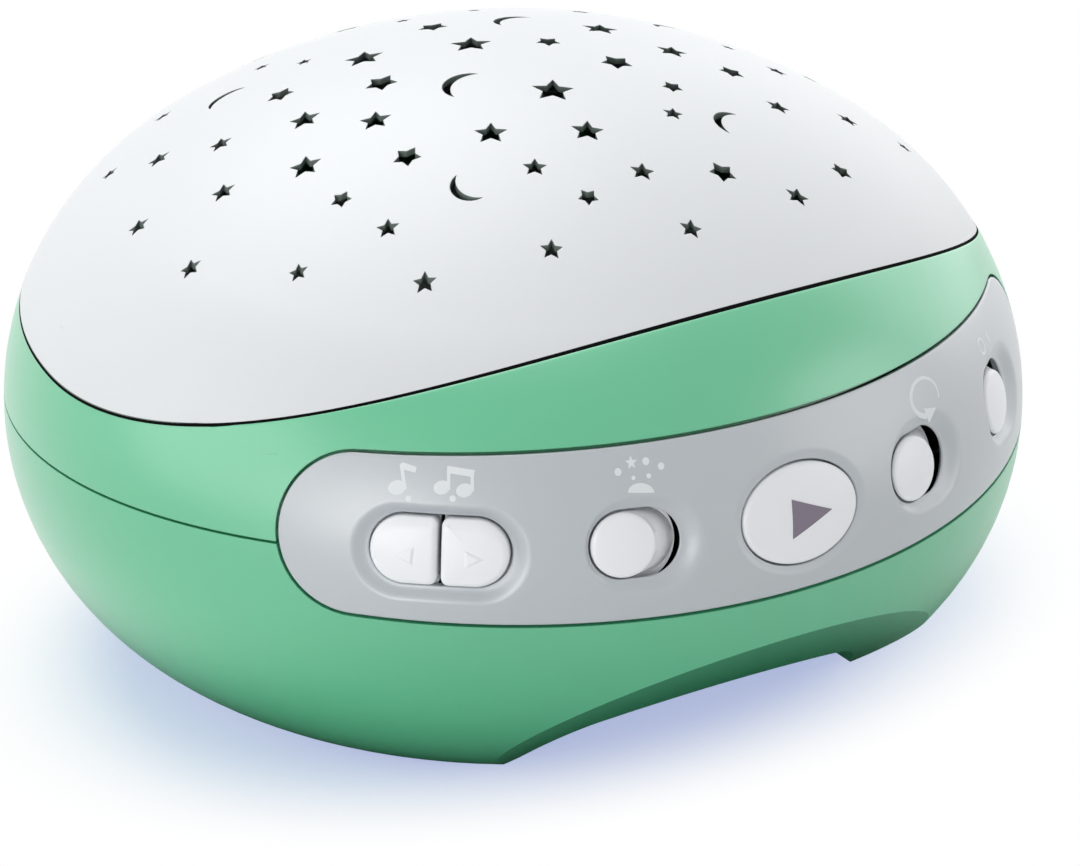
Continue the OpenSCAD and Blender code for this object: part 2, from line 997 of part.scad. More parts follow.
module switch_board_screws() {
    color(steel)
        for (board = boards)
            at_posts(board)
                translate([0, 0, -board_depth - board_t])
                    rotate([180, 0, 0])
                        small_screw(board_t + 5);
}

module light_deck() {
    color(black)
        difference() {
            union() {
                translate([0, 0, deck_z])
                    cylinder(r = shelf_r - 1, h = deck_t);
                intersection() {
                    translate([0, 0, deck_z])
                        cylinder(r = deck_r, h = deck_t);
                    translate([-big / 2, shelf_front + seat_gap, 0])
                        cube(big);
                }
                at_columns()
                    translate([0, 0, deck_z])
                        cylinder(r = column_r - 1, h = deck_t + 5);
                for (sx = [-1, 1], sy = [-1, 1])
                    translate([sx * main_screw_x, sy * main_screw_y, deck_z - boss_h])
                        cylinder(r = screw_head_r + 0.8, h = boss_h + lap);
            }
            at_columns()
                translate([0, 0, deck_z - lap])
                    cylinder(r = long_screw_r, h = deck_t + 5);
            at_deck_screws()
                cylinder(r = screw_r + screw_gap, h = big, center = true);
            for (sx = [-1, 1], sy = [-1, 1])
                translate([sx * main_screw_x, sy * main_screw_y, deck_z - boss_h - lap])
                    cylinder(r = screw_r, h = boss_h + lap);
            at_lamp_screws()
                translate([0, 0, -big / 2])
                    cylinder(r = screw_r, h = big);
        }
}

module deck_screws() {
    color(steel)
        at_deck_screws()
            translate([0, 0, deck_t])
                small_screw(deck_t + 4);
}

module at_lamp_screws() {
    for (side = [-1, 1])
        translate([side * (led_board_r - 3), 0, led_z])
            children();
}

module lamp_board() {
    color(board_green)
        difference() {
            translate([0, 0, led_z])
                cylinder(r = led_board_r, h = board_t);
            at_lamp_screws()
                cylinder(r = screw_r + screw_gap, h = big, center = true);
        }
}

module lamp_chips() {
    chip = 5;
    color("#f2e9a8")
        for (turn = [0:90:270])
            rotate([0, 0, turn + 45])
                translate([chip + 1, 0, led_z + board_t])
                    translate([-chip / 2, -chip / 2, 0])
                        cube([chip, chip, 1.6]);
}

module lamp_screws() {
    color(steel)
        at_lamp_screws()
            translate([0, 0, board_t])
                small_screw(board_t + deck_t);
}

module main_board() {
    color(board_green)
        translate([0, 0, main_board_z])
            difference() {
                translate([-main_board_w / 2, -main_board_l / 2, 0])
                    cube([main_board_w, main_board_l, board_t]);
                for (sx = [-1, 1], sy = [-1, 1])
                    translate([sx * main_screw_x, sy * main_screw_y, 0])
                        cylinder(r = screw_r + screw_gap, h = big, center = true);
            }
}

module main_board_parts() {
    color(black)
        translate([0, 0, main_board_z + board_t]) {
            translate([-10, -6, 0])
                cube([12, 12, 2]);
            translate([-24, 4, 0])
                cube([8, 6, 1.8]);
            for (i = [0:2])
                translate([10 + 6 * i, -8, 0])
                    cylinder(r = 2.2, h = 4.5);
        }
}

module main_board_screws() {
    color(steel)
        for (sx = [-1, 1], sy = [-1, 1])
            translate([sx * main_screw_x, sy * main_screw_y, main_board_z])
                rotate([180, 0, 0])
                    small_screw(board_t + boss_h - 1);
}

module at_speaker() {
    translate([0, -speaker_y, speaker_seat_z])
        children();
}

module speaker_basket() {
    frame_r = speaker_d / 2;
    color(steel)
        at_speaker()
            difference() {
                union() {
                    cylinder(r = frame_r, h = speaker_rim_t);
                    cylinder(r1 = frame_r - 2, r2 = frame_r * 0.55, h = speaker_h - 5);
                }
                translate([0, 0, -lap])
                    cylinder(r1 = frame_r - 3, r2 = frame_r * 0.55 - 1.4, h = speaker_h - 5 + 2 * lap);
            }
}

module speaker_cone() {
    frame_r = speaker_d / 2;
    color(black)
        at_speaker()
            translate([0, 0, seat_gap])
                difference() {
                    cylinder(r1 = frame_r - 4, r2 = frame_r * 0.4, h = 5);
                    translate([0, 0, -0.8])
                        cylinder(r1 = frame_r - 4, r2 = frame_r * 0.4, h = 5);
                }
}

module speaker_magnet() {
    frame_r = speaker_d / 2;
    color(steel)
        at_speaker()
            translate([0, 0, speaker_h - 5])
                cylinder(r = frame_r * 0.6, h = 5);
}

// Places of the two posts for the speaker clamps, to the left and the right of the speaker
module at_clamp_posts() {
    for (turn = [0, 180])
        at_speaker()
            rotate([0, 0, turn])
                translate([clamp_post_x, 0, 0])
                    children();
}

module speaker_clamps() {
    reach = clamp_post_x - speaker_d / 2 + speaker_ring_w;
    color(steel)
        at_clamp_posts()
            translate([0, 0, speaker_rim_t])
                difference() {
                    translate([-reach, -clamp_w / 2, 0])
                        cube([reach + clamp_post_r, clamp_w, clamp_t]);
                    cylinder(r = screw_r + screw_gap, h = big, center = true);
                }
}

module speaker_screws() {
    color(steel)
        at_clamp_posts()
            translate([0, 0, speaker_rim_t + clamp_t])
                small_screw(clamp_t + speaker_rim_t);
}

// Places of the screws in the battery box's ears
module at_box_screws() {
    for (side = [-1, 1])
        translate([side * (box_w + ear_l) / 2, ear_y, ear_z])
            children();
}

module battery_box() {
    color(black)
        difference() {
            union() {
                translate([-box_w / 2, box_y, 0])
                    cube([box_w, box_l, box_z + box_h]);
                translate([-box_w / 2 - ear_l, ear_y - ear_w / 2, 0])
                    cube([box_w + 2 * ear_l, ear_w, ear_z]);
                translate([-lug_w / 2, box_y - door_lug + 2 * box_wall, 0])
                    cube([lug_w, door_lug, box_z + lug_h]);
            }
            translate([-box_w / 2 + box_wall, box_y + box_wall, 0])
                cube([box_w - 2 * box_wall, box_l - 2 * box_wall, box_z + box_h - box_wall]);
            arch_form(wall + seat_gap);
            at_box_screws()
                cylinder(r = screw_r + screw_gap, h = big, center = true);
            translate([0, door_screw_y, 0])
                cylinder(r = screw_r, h = box_z + lug_h - 1);
        }
}

// Place of each cell: the middle of its front end
module at_cells() {
    for (i = [0:cells - 1])
        translate([(i - (cells - 1) / 2) * (cell_d + 0.6), box_y + box_wall + cell_room, box_z + 1 + cell_d / 2])
            children();
}

module batteries() {
    color("#4a5560")
        at_cells()
            rotate([-90, 0, 0]) {
                cylinder(r = cell_d / 2, h = cell_l - 1);
                cylinder(r = cell_d * 0.19, h = cell_l);
            }
}

module battery_springs() {
    color(steel)
        at_cells()
            translate([0, -cell_room, 0])
                rotate([-90, 0, 0])
                    cylinder(r1 = cell_d * 0.4, r2 = cell_d * 0.2, h = cell_room);
}

module battery_plates() {
    color(steel)
        at_cells()
            translate([-cell_d * 0.4, cell_l, -cell_d * 0.4])
                cube([cell_d * 0.8, cell_room, cell_d * 0.8]);
}

module battery_box_screws() {
    color(steel)
        at_box_screws()
            small_screw(box_screw_l);
}

module battery_door() {
    color(green)
        difference() {
            intersection() {
                difference() {
                    bowl_form(0);
                    bowl_form(wall);
                }
                door_block(0);
            }
            translate([0, door_screw_y, 0]) {
                cylinder(r = screw_r + screw_gap, h = big);
                cylinder(r = screw_head_r + screw_gap, h = arch_h + screw_head_h);
            }
        }
}

module battery_door_screw() {
    color(steel)
        translate([0, door_screw_y, arch_h + screw_head_h])
            rotate([180, 0, 0])
                small_screw(wall + 3);
}

module housing_screws() {
    color(steel)
        at_columns()
            translate([0, 0, column_head_z])
                rotate([180, 0, 0])
                    screw(long_screw_r, long_screw_l, 2.8, 2);
}

module rubber_pads() {
    color(black)
        at_pads()
            cylinder(r = pad_d / 2, h = pad_t);
}

dome_cover();
upper_housing();
lower_housing();
control_panel();
previous_key();
next_key();
play_button();
projector_slider();
loop_slider();
power_slider();
projector_lever();
loop_lever();
power_lever();
push_switches();
slide_switches();
switch_boards();
switch_board_screws();
light_deck();
deck_screws();
lamp_board();
lamp_chips();
lamp_screws();
main_board();
main_board_parts();
main_board_screws();
speaker_basket();
speaker_cone();
speaker_magnet();
speaker_clamps();
speaker_screws();
battery_box();
batteries();
battery_springs();
battery_plates();
battery_box_screws();
battery_door();
battery_door_screw();
housing_screws();
rubber_pads();
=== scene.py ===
"""Table-top star projector: a perforated white dome on a green housing with a grey control panel.

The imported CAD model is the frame. Everything here is in metres in that frame: the origin is on the ground under
the centre, +Z is up and the panel faces -Y. Surfaces are worked out as numpy arrays, in millimetres until the
mesh is made. A place on the body is a turn, in degrees from the front to the right, and a rise, in millimetres
over the equator.
"""

import json
import math

import bmesh
import bpy
import mathutils
import numpy as np
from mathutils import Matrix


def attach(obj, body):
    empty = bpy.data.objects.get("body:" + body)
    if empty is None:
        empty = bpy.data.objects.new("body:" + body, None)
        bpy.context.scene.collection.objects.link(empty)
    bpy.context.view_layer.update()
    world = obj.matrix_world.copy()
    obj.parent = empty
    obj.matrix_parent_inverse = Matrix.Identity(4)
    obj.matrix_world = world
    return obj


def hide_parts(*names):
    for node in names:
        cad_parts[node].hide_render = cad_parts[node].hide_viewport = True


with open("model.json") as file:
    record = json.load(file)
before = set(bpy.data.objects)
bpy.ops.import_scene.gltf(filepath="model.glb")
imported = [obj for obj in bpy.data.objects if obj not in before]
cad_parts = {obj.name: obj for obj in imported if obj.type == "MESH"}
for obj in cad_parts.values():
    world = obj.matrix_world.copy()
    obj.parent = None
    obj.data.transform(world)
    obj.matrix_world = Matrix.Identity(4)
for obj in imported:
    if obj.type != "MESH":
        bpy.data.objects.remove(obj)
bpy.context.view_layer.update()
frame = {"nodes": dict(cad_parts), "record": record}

MM = 0.001

# Meshes: points nearer than the first are merged, and edges shorter than the second are removed
MERGE_MM, SLIVER_MM = 0.002, 0.0005
# Edges that bend by more degrees than this stay sharp
RIM_SHARP, PANEL_SHARP, KEY_SHARP, PRINT_SHARP = 40.0, 50.0, 42.0, 30.0
# The steps of a rolled edge
QUARTER_ROUND = np.radians([0, 18, 36, 54, 72, 90])

# The body of revolution: a shoulder arc over the equator and a bowl arc under it, each about a circle
EQUATOR_H = 38.5
BODY_R = 80.0
SHOULDER_R = 45.0
SHOULDER_C = BODY_R - SHOULDER_R
BOWL_R = 41.5
BOWL_C = BODY_R - BOWL_R

# The dome's rim: flat at the back, then an arc that climbs towards the front. The solid's rim, and the rim that
# the photograph shows: height, radius, and where the arc starts behind the middle
SOLID_RIM = (18.5, 125.0, 0.0)
SHOWN_RIM = (15.9, 140.0, 12.7)
# A rim's rise stays under this while it is worked out, just under the top of the shoulder's arc
RIM_HIGHEST = 44.0
# The rim's shells: the gap between them, how far they reach past the solid's rim, their height over the skin where
# they are needed and where they aren't, their depth in it, the roll of their edge, and the share of their width
# over which they fall
RIM_GAP, RIM_FEATHER = 0.36, 4.0
RIM_PROUD, RIM_SUNK, RIM_ROOT = 0.12, -0.03, 0.1
RIM_ROLL, RIM_FALL = 0.08, 0.9
# How far the shown rim has to be from the solid's for the full height, and the painted gap shade strip's height and
# lap
RIM_EASE = 0.4
STRIP_PROUD, STRIP_LAP = 0.03, 0.05

# The panel's outline: two tilted planes and two round ends, with a rolled edge
PANEL_T = 2.4
PANEL_TOP, PANEL_TOP_TILT = 24.2, 4.0
PANEL_BOTTOM, PANEL_BOTTOM_TILT = -2.3, 0.5
PANEL_TURN = 50.5
EDGE_R = 0.35
# The turns that divide the panel into one cell for each control, and the lip of each opening
CELL_CUTS = (-PANEL_TURN, -28.5, -10.5, 11.7, 30.0, PANEL_TURN)
LIP_R = 0.3
# The pad behind an opening is flat up to the first distance from it, and ends at the second. The top of a wall that
# leans out lies lower by a share of the lean
PAD_FLAT, PAD_END, LEAN_DROP = 0.75, 2.25, 0.25

# The controls' row: a rise, its slope on the shoulder, its distance from the axis, and each control's turn
CONTROL_Z = 9.6
CONTROL_TILT = math.asin(CONTROL_Z / SHOULDER_R)
PANEL_Y = SHOULDER_C + math.sqrt(SHOULDER_R ** 2 - CONTROL_Z ** 2)
KEYS_TURN, PROJECTOR_TURN, PLAY_TURN, LOOP_TURN, POWER_TURN = -40.5, -19.5, 0.5, 19.0, 39.5

# The running gap round a control, the flange and post behind it, and depths under the skin
KEY_GAP, FLANGE, POST_R = 0.3, 0.9, 1.5
PAD_DEPTH, FLANGE_DEPTH, FLANGE_BACK, PLATE_BACK, POST_DEPTH = 3.4, 3.7, 4.9, 5.2, 7.5

# The pair of track keys, with its middle a little to the left of and under its direction. The top edge of a key is
# rounded further in than the others
KEYS_L, KEYS_H, KEYS_SPLIT, KEY_PROUD = 20.9, 10.3, 0.6, 0.5
KEYS_MIDDLE = np.array([-0.5, -0.5])
KEY_CORNER, KEY_CROWN, KEY_ROUND_IN, KEY_ROUND_TOP, KEY_ROUND_DOWN = 1.2, 0.12, 1.0, 1.3, 0.9
KEYS_DISH_MIDDLE, KEYS_DISH_L, KEYS_DISH_H = np.array([-0.5, -0.95]), KEYS_L + 6.8, KEYS_H + 5.0
KEYS_DISH_DEPTH = 1.1

# The play button
PLAY_W, PLAY_H, PLAY_CROWN, PLAY_ROUND_IN, PLAY_ROUND_DOWN = 20.5, 15.3, 0.1, 0.7, 0.5
PLAY_DISH_W, PLAY_DISH_H, PLAY_DISH_DEPTH = PLAY_W + 4.2, PLAY_H + 4.2, 0.4

# The slider knobs, the ramp beside each, and the plate behind its slot: square on the left, round on the right
KNOB_D, KNOB_CROWN, KNOB_ROUND_IN, KNOB_ROUND_DOWN, RAMP_L = 10.0, 0.3, 0.9, 0.7, 3.3
PLATE_LEFT, PLATE_UP, PLATE_SHIFT, PLATE_R = 7.0, 6.5, 1.7, 6.8
# The slots: the knob's place to the left of the middle at rest, and the wall's lean under the lip. The dish round a
# slot is deeper towards its right end
SLOT_L, SLOT_REST, SLOT_UNDERCUT = 14.2, 1.8, 1.6
SLOT_DISH_MIDDLE, SLOT_DISH_L, SLOT_DISH_H = np.array([1.6, -0.2]), SLOT_L + 4.6, KNOB_D + 5.4
SLOT_DISH_DEPTH, SLOT_DISH_SLANT, SLOT_SLANT_REACH, SLOT_SLANT_LEAST = 0.95, 0.4, 7.0, -0.6

# The prints: heights of the layers of ink, so that marks that cross don't share a plane, the depth of their edge,
# and the rise of their row. The raised marks on the track keys stand higher, with a wider foot
INK, INK_OVER, INK_TOP, PLAY_INK = 0.030, 0.034, 0.038, 0.04
PRINT_ROOT, PRINT_ROW = 0.1, 18.4
MARK_H, MARK_LIFT, MARK_FOOT = 0.25, 0.1, 1.9

# The photograph's camera: direction in degrees, distance and sensor in millimetres, the rest in pixels
CAMERA_TURN, CAMERA_LIFT = 32.87, 24.59
CAMERA_DISTANCE = 1270.0
SENSOR_W = 36.0
IMAGE_W, IMAGE_H = 1080, 866
FOCAL_PX = 8072.0
CENTRE_PX = (513.15, 388.29)

# The floor's paper: half its side and its height, in metres
FLOOR_HALF, FLOOR_Z = 6.0, -0.1 * MM
# What the lamps add to the paper, and what is left in full shade: together nearly white, and bluish in the shadow
PAPER_LIT, PAPER_SHADE = "#CBC299", "#A6B1D7"
# The tones that it throws back on the object: painted shade from close under it, and the paper's tone further out
UNDER_SHADE_TONE, PAPER_TONE = "#383838", "#E8E8E8"
# The radii over which the painted shade under the object, the dull zone in reflections and the shadow give way to
# white
UNDER_FADE = (0.052, 0.090)
MIRROR_FADE = (0.175, 0.245)
SHADOW_FADE = (0.062, 0.104)
# The dull zone lies to the front right, and beyond it the paper is mirrored at this share of white
MIRROR_PLACE, MIRROR_LEVEL = (0.10, -0.10, 0.0), 0.9
# The shadow is an oval, short towards the front left
SHADOW_TURN, SHADOW_SHAPE = 32.9, (1.0, 1.4, 1.0)

# The light of the studio's air, and round lamps that face the object: place and size in metres, watts
AIR_STRENGTH = 0.32
LAMP_AIM = (0, 0, 0.045)
LAMPS = (
    ("top_softbox", (-0.10, 0.10, 1.30), 1.3, 3.0),
    ("top_back_softbox", (0.10, 0.75, 1.10), 1.1, 10.2),
    ("left_softbox", (-1.18, 0.26, 0.38), 1.1, 3.4),
    ("left_low_softbox", (-1.10, -0.63, 0.14), 0.75, 5.9),
    ("right_front_softbox", (0.98, -0.80, 0.40), 0.9, 2.9),
    ("right_back_softbox", (1.15, 0.42, 0.50), 1.5, 4.8),
)


# ---------------------------------------------------------------- materials

# Mould grain is about a tenth of a millimetre, too fine to show, so it is drawn a few times as coarse. The drift of
# colour, the grain and its relief are in millimetres
DRIFT_MM, ABS_GRAIN, RELIEF_MM = 40, 0.35, 0.05
# The part of a noise's range that its values mostly fill, and how far the roughness varies over it
NOISE_LOW, NOISE_HIGH = 0.3, 0.7
PLASTIC_SPREAD, METAL_SPREAD = 0.05, 0.08
ABS_IOR, COAT_ROUGHNESS = 1.53, 0.3
# Rounding of the light at a CAD solid's edges, in millimetres, and the slope up to which a face counts as upright
EDGE_LIGHT, UPRIGHT_SLOPE = 0.3, 0.12
TWO_COLOURS = {"data_type": "RGBA"}


def linear(hex_colour):
    """sRGB hex to linear RGBA."""
    value = hex_colour.lstrip("#")
    channels = [int(value[i:i + 2], 16) / 255 for i in (0, 2, 4)]
    return tuple(c / 12.92 if c <= 0.04045 else ((c + 0.055) / 1.055) ** 2.4 for c in channels) + (1.0,)


def new_material(name):
    """A material with an empty node tree, and its output node."""
    material = bpy.data.materials.new(name)
    material.use_nodes = True
    tree = material.node_tree
    tree.nodes.clear()
    return material, tree, tree.nodes.new("ShaderNodeOutputMaterial")


def add(tree, kind, settings=None, **sockets):
    """Adds a node: settings are its properties, and sockets its inputs, as a value or as a link from an output.

    An input goes by its name, or by its number after an i.
    """
    node = tree.nodes.new(kind)
    for key, value in (settings or {}).items():
        setattr(node, key, value)
    for key, value in sockets.items():
        socket = node.inputs[int(key[1:])] if key[1:].isdigit() else node.inputs[key.replace("_", " ")]
        if isinstance(value, bpy.types.NodeSocket):
            tree.links.new(value, socket)
        else:
            socket.default_value = value
    return node


def moulded_plastic(name, pale, deep, roughness, grain_mm, bump, coat=0.0, coat_ior=1.5, edge_mm=0.0,
                    hole_wall_shade=None, ior=ABS_IOR):
    """Moulded plastic: slow drift of colour over centimetres, fine spark-eroded grain, satin gloss.

    The coat is the smooth skin that a polished mould leaves. An edge radius rounds the light on the sharp edges of
    a CAD solid, as a mould's polished edge does. A hole wall shade is painted shade on upright faces, holes' walls.
    """
    material, tree, output = new_material(name)
    place = add(tree, "ShaderNodeTexCoord").outputs["Object"]
    drift = add(tree, "ShaderNodeTexNoise", Vector=place, Scale=1 / (DRIFT_MM * MM), Detail=2.0, Roughness=0.5)
    colour = add(tree, "ShaderNodeMix", TWO_COLOURS, i0=drift.outputs["Fac"], i6=linear(pale),
                 i7=linear(deep)).outputs[2]
    if hole_wall_shade:
        # Painted shade: upright faces, the walls of holes, take a darker colour
        facing = add(tree, "ShaderNodeNewGeometry").outputs["True Normal"]
        height = add(tree, "ShaderNodeSeparateXYZ", Vector=facing).outputs["Z"]
        slope = add(tree, "ShaderNodeMath", {"operation": "ABSOLUTE"}, i0=height).outputs[0]
        upright = add(tree, "ShaderNodeMath", {"operation": "LESS_THAN"}, i0=slope, i1=UPRIGHT_SLOPE).outputs[0]
        colour = add(tree, "ShaderNodeMix", TWO_COLOURS, i0=upright, i6=colour, i7=linear(hole_wall_shade)).outputs[2]
    grain = add(tree, "ShaderNodeTexNoise", Vector=place, Scale=1 / (grain_mm * MM), Detail=3.0,
                Roughness=0.6).outputs["Fac"]
    polish = add(tree, "ShaderNodeMapRange", Value=grain, i1=NOISE_LOW, i2=NOISE_HIGH,
                 i3=roughness - PLASTIC_SPREAD, i4=roughness + PLASTIC_SPREAD)
    relief = add(tree, "ShaderNodeBump", Strength=bump, Distance=RELIEF_MM * MM, Height=grain)
    if edge_mm:
        edge = add(tree, "ShaderNodeBevel", {"samples": 6}, Radius=edge_mm * MM)
        tree.links.new(edge.outputs[0], relief.inputs["Normal"])
    surface = add(tree, "ShaderNodeBsdfPrincipled", Base_Color=colour, Roughness=polish.outputs[0], IOR=ior,
                  Normal=relief.outputs[0], Coat_Weight=coat, Coat_Roughness=COAT_ROUGHNESS, Coat_IOR=coat_ior)
    tree.links.new(surface.outputs[0], output.inputs["Surface"])
    return material


def plain_metal(name, pale, deep, roughness, grain_mm):
    """Plain metal: a fine mottle in tone and in gloss, drawn coarse enough to show."""
    material, tree, output = new_material(name)
    place = add(tree, "ShaderNodeTexCoord").outputs["Object"]
    mottle = add(tree, "ShaderNodeTexNoise", Vector=place, Scale=1 / (grain_mm * MM), Detail=3.0).outputs["Fac"]
    tone = add(tree, "ShaderNodeMix", TWO_COLOURS, i0=mottle, i6=linear(pale), i7=linear(deep))
    polish = add(tree, "ShaderNodeMapRange", Value=mottle, i3=roughness - METAL_SPREAD, i4=roughness + METAL_SPREAD)
    surface = add(tree, "ShaderNodeBsdfPrincipled", Base_Color=tone.outputs[2], Roughness=polish.outputs[0],
                  Metallic=1.0)
    tree.links.new(surface.outputs[0], output.inputs["Surface"])
    return material


# Each finish: name, its paler and its deeper colour, roughness, grain in millimetres, relief

# ABS for the dome: a cool white with a fine satin texture, so highlights spread wide; painted shade on its hole walls
dome_abs = moulded_plastic("white_abs_satin", "#DEE1E3", "#DBDEE0", 0.46, ABS_GRAIN, 0.10, edge_mm=EDGE_LIGHT,
                           hole_wall_shade="#6E7B75")
# ABS for the housings: a soft mint green, the same satin mould texture under a stronger sheen
green_abs = moulded_plastic("green_abs_satin", "#4CBC8B", "#46B684", 0.40, ABS_GRAIN, 0.10, coat=1.0, coat_ior=1.8,
                            edge_mm=EDGE_LIGHT)
# ABS for the panel: a light neutral grey, slightly more matt than the green
grey_abs = moulded_plastic("grey_abs_matt", "#BCC2C7", "#B7BDC2", 0.44, ABS_GRAIN, 0.10, coat=1.0, coat_ior=1.6)
# Acetal for what fingers slide and press: a bluish white with a smooth, slightly waxy gloss
key_acetal = moulded_plastic("bluish_white_acetal", "#F5F7FA", "#F1F3F7", 0.36, 0.6, 0.05, coat=0.15)
# Black moulded nylon for holders and switches inside: matt, so that the openings stay dark
black_nylon = moulded_plastic("black_nylon_matt", "#17191B", "#121415", 0.62, 0.4, 0.15)
# Painted shade of the rim's gap: black with no gloss at all, so that the gap stays a thin black line
painted_gap_shade = moulded_plastic("painted_gap_shade_black", "#101212", "#0C0D0D", 0.90, 0.4, 0.05, ior=1.1)
# ABS for the light deck: a grey green, so that the dark seen through the holes is not quite black
deck_abs = moulded_plastic("grey_green_abs_matt", "#B9C6C0", "#B1BEB8", 0.60, 0.4, 0.10)
# Glass-fibre board under solder mask: dark green, smooth
board_mask = moulded_plastic("circuit_board_mask", "#1F5A38", "#194C2F", 0.35, 1.2, 0.05)
# Silicone rubber pads: nearly black, dull
pad_rubber = moulded_plastic("silicone_rubber_dull", "#1C1D1F", "#161718", 0.75, 0.5, 0.20)
# Lamp faces: pale yellow phosphor behind clear resin, glossy
lamp_resin = moulded_plastic("lamp_resin_gloss", "#F0E29A", "#E8D888", 0.18, 0.8, 0.03)
# Pressed paper of the speaker's cone: black and fibrous
cone_paper = moulded_plastic("black_pressed_paper", "#1A1A1B", "#101011", 0.85, 0.25, 0.35)
# Shrunk film around a cell: plain slate, glossy
cell_film = moulded_plastic("slate_shrink_film", "#3D4A57", "#35414D", 0.25, 2.0, 0.03)
# Zinc-plated steel: bright grey with a fine mottle
zinc_steel = plain_metal("zinc_plated_steel", "#C4C6C8", "#A9ACAF", 0.35, 0.6)
# Sintered ferrite: dark grey, dull metal
ferrite = plain_metal("sintered_ferrite", "#4A4B4D", "#38393B", 0.60, 0.8)
# Pad-printed ink on the panel: a thin pale layer, duller than the plastic
pale_ink = moulded_plastic("pale_pad_print_ink", "#E9EDF0", "#E4E9EC", 0.60, 0.3, 0.05)
# Pad-printed ink on the play button: a warm grey
warm_ink = moulded_plastic("warm_grey_pad_print_ink", "#837A89", "#7D7483", 0.55, 0.3, 0.05)

FINISHES = {
    "white_plastic": dome_abs, "green_plastic": green_abs, "grey_plastic": grey_abs, "key_plastic": key_acetal,
    "black_plastic": black_nylon, "circuit_board": board_mask, "pad_rubber": pad_rubber,
    "lamp_plastic": lamp_resin, "cone_paper": cone_paper, "cell_jacket": cell_film,
    "switch_steel": zinc_steel, "screw_steel": zinc_steel, "contact_steel": zinc_steel, "magnet_iron": ferrite,
}


def dress_nodes():
    """Every CAD node takes the finish of its material slot in the record, apart from the paler light deck."""
    for part in frame["record"]["subparts"]:
        mesh = frame["nodes"][part["node"]].data
        mesh.materials.clear()
        mesh.materials.append(deck_abs if part["node"] == "light_deck" else FINISHES[part["material_slot"]])


# ---------------------------------------------------------------- surfaces

def shoulder_radius(rise):
    """Distance of the shoulder's skin from the axis: its circle's radius + sqrt(arc^2 - rise^2)."""
    return SHOULDER_C + np.sqrt(SHOULDER_R ** 2 - rise ** 2)


def body_point(turn, rise, depth=0.0):
    """Point of the body's skin: turned from the front, at a rise over the equator, at a depth under the skin.

    The skin is an arc about a circle: the shoulder's above the equator and the bowl's below it.
    """
    turn, rise, depth = np.broadcast_arrays(np.radians(turn), rise, depth)
    arc = np.where(rise >= 0, SHOULDER_R, BOWL_R)
    slope = np.arcsin(rise / arc)
    radius = BODY_R - arc + (arc - depth) * np.cos(slope)
    return np.stack([radius * np.sin(turn), -radius * np.cos(turn), EQUATOR_H + (arc - depth) * np.sin(slope)], -1)


def skin_distance(points):
    """Distance outside the body's skin: from the arc's circle, less the arc's radius."""
    radius = np.hypot(points[..., 0], points[..., 1])
    rise = points[..., 2] - EQUATOR_H
    shoulder = np.hypot(radius - SHOULDER_C, rise) - SHOULDER_R
    bowl = np.hypot(radius - BOWL_C, rise) - BOWL_R
    return np.where(rise >= 0, shoulder, bowl)


class Control:
    """The plane that touches the skin at a control: X to the right, Y up the panel, Z outwards."""

    def __init__(self, turn):
        """The normal leans up by the row's slope; the origin is the arc's circle + its radius along the normal."""
        t = math.radians(turn)
        self.out = np.array([math.sin(t) * math.cos(CONTROL_TILT), -math.cos(t) * math.cos(CONTROL_TILT),
                             math.sin(CONTROL_TILT)])
        self.right = np.array([math.cos(t), math.sin(t), 0.0])
        self.up = np.cross(self.out, self.right)
        circle = np.array([SHOULDER_C * math.sin(t), -SHOULDER_C * math.cos(t), EQUATOR_H])
        self.origin = circle + SHOULDER_R * self.out

    def plane(self, xy, height):
        """Point over the plane: origin + x right + y up + height outwards."""
        xy, height = np.asarray(xy, float), np.asarray(height, float)
        return self.origin + xy[..., :1] * self.right + xy[..., 1:] * self.up + height[..., None] * self.out

    def skin(self, xy, depth):
        """Point over (x, y) at a depth under the skin: steps along the plane's normal by the distance left."""
        height = np.broadcast_to(-np.asarray(depth, float), np.shape(xy)[:-1]).copy()
        for _ in range(12):
            height -= skin_distance(self.plane(xy, height)) + depth
        return self.plane(xy, height)

    def local(self, points):
        """(x, y) of points in the plane: their distance from the origin along X and along Y."""
        return np.stack([(points - self.origin) @ self.right, (points - self.origin) @ self.up], -1)


def make_piece(name, sheets, body, material, smooth_deg, replaces=()):
    """One mesh from sheets of points, each a grid of rings: neighbours make quads, equal points are merged.

    A sheet is (points[rings, columns, 3], closed): a closed sheet joins its last column to its first. Edges that
    bend by more than the angle stay sharp.
    """
    points, faces, start = [], [], 0
    for grid, closed in sheets:
        rings, columns = grid.shape[:2]
        index = start + np.arange(rings * columns).reshape(rings, columns)
        after = np.roll(index, -1, axis=1)
        last = columns if closed else columns - 1
        quads = np.stack([index[:-1, :last], index[1:, :last], after[1:, :last], after[:-1, :last]], -1)
        points.append(grid.reshape(-1, 3))
        faces.append(quads.reshape(-1, 4))
        start += rings * columns
    mesh = bpy.data.meshes.new(name)
    mesh.from_pydata((np.concatenate(points) * MM).tolist(), [], np.concatenate(faces).tolist())
    work = bmesh.new()
    work.from_mesh(mesh)
    bmesh.ops.remove_doubles(work, verts=work.verts, dist=MERGE_MM * MM)
    bmesh.ops.dissolve_degenerate(work, edges=work.edges, dist=SLIVER_MM * MM)
    work.to_mesh(mesh)
    work.free()
    mesh.shade_smooth()
    mesh.set_sharp_from_angle(angle=math.radians(smooth_deg))
    mesh.materials.append(material)
    piece = bpy.data.objects.new(name, mesh)
    bpy.context.collection.objects.link(piece)
    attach(piece, body)
    if replaces:
        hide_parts(*replaces)
    return piece


def outwards(piece):
    """Turns every closed shell of a piece outwards."""
    work = bmesh.new()
    work.from_mesh(piece.data)
    bmesh.ops.recalc_face_normals(work, faces=work.faces)
    work.to_mesh(piece.data)
    work.free()


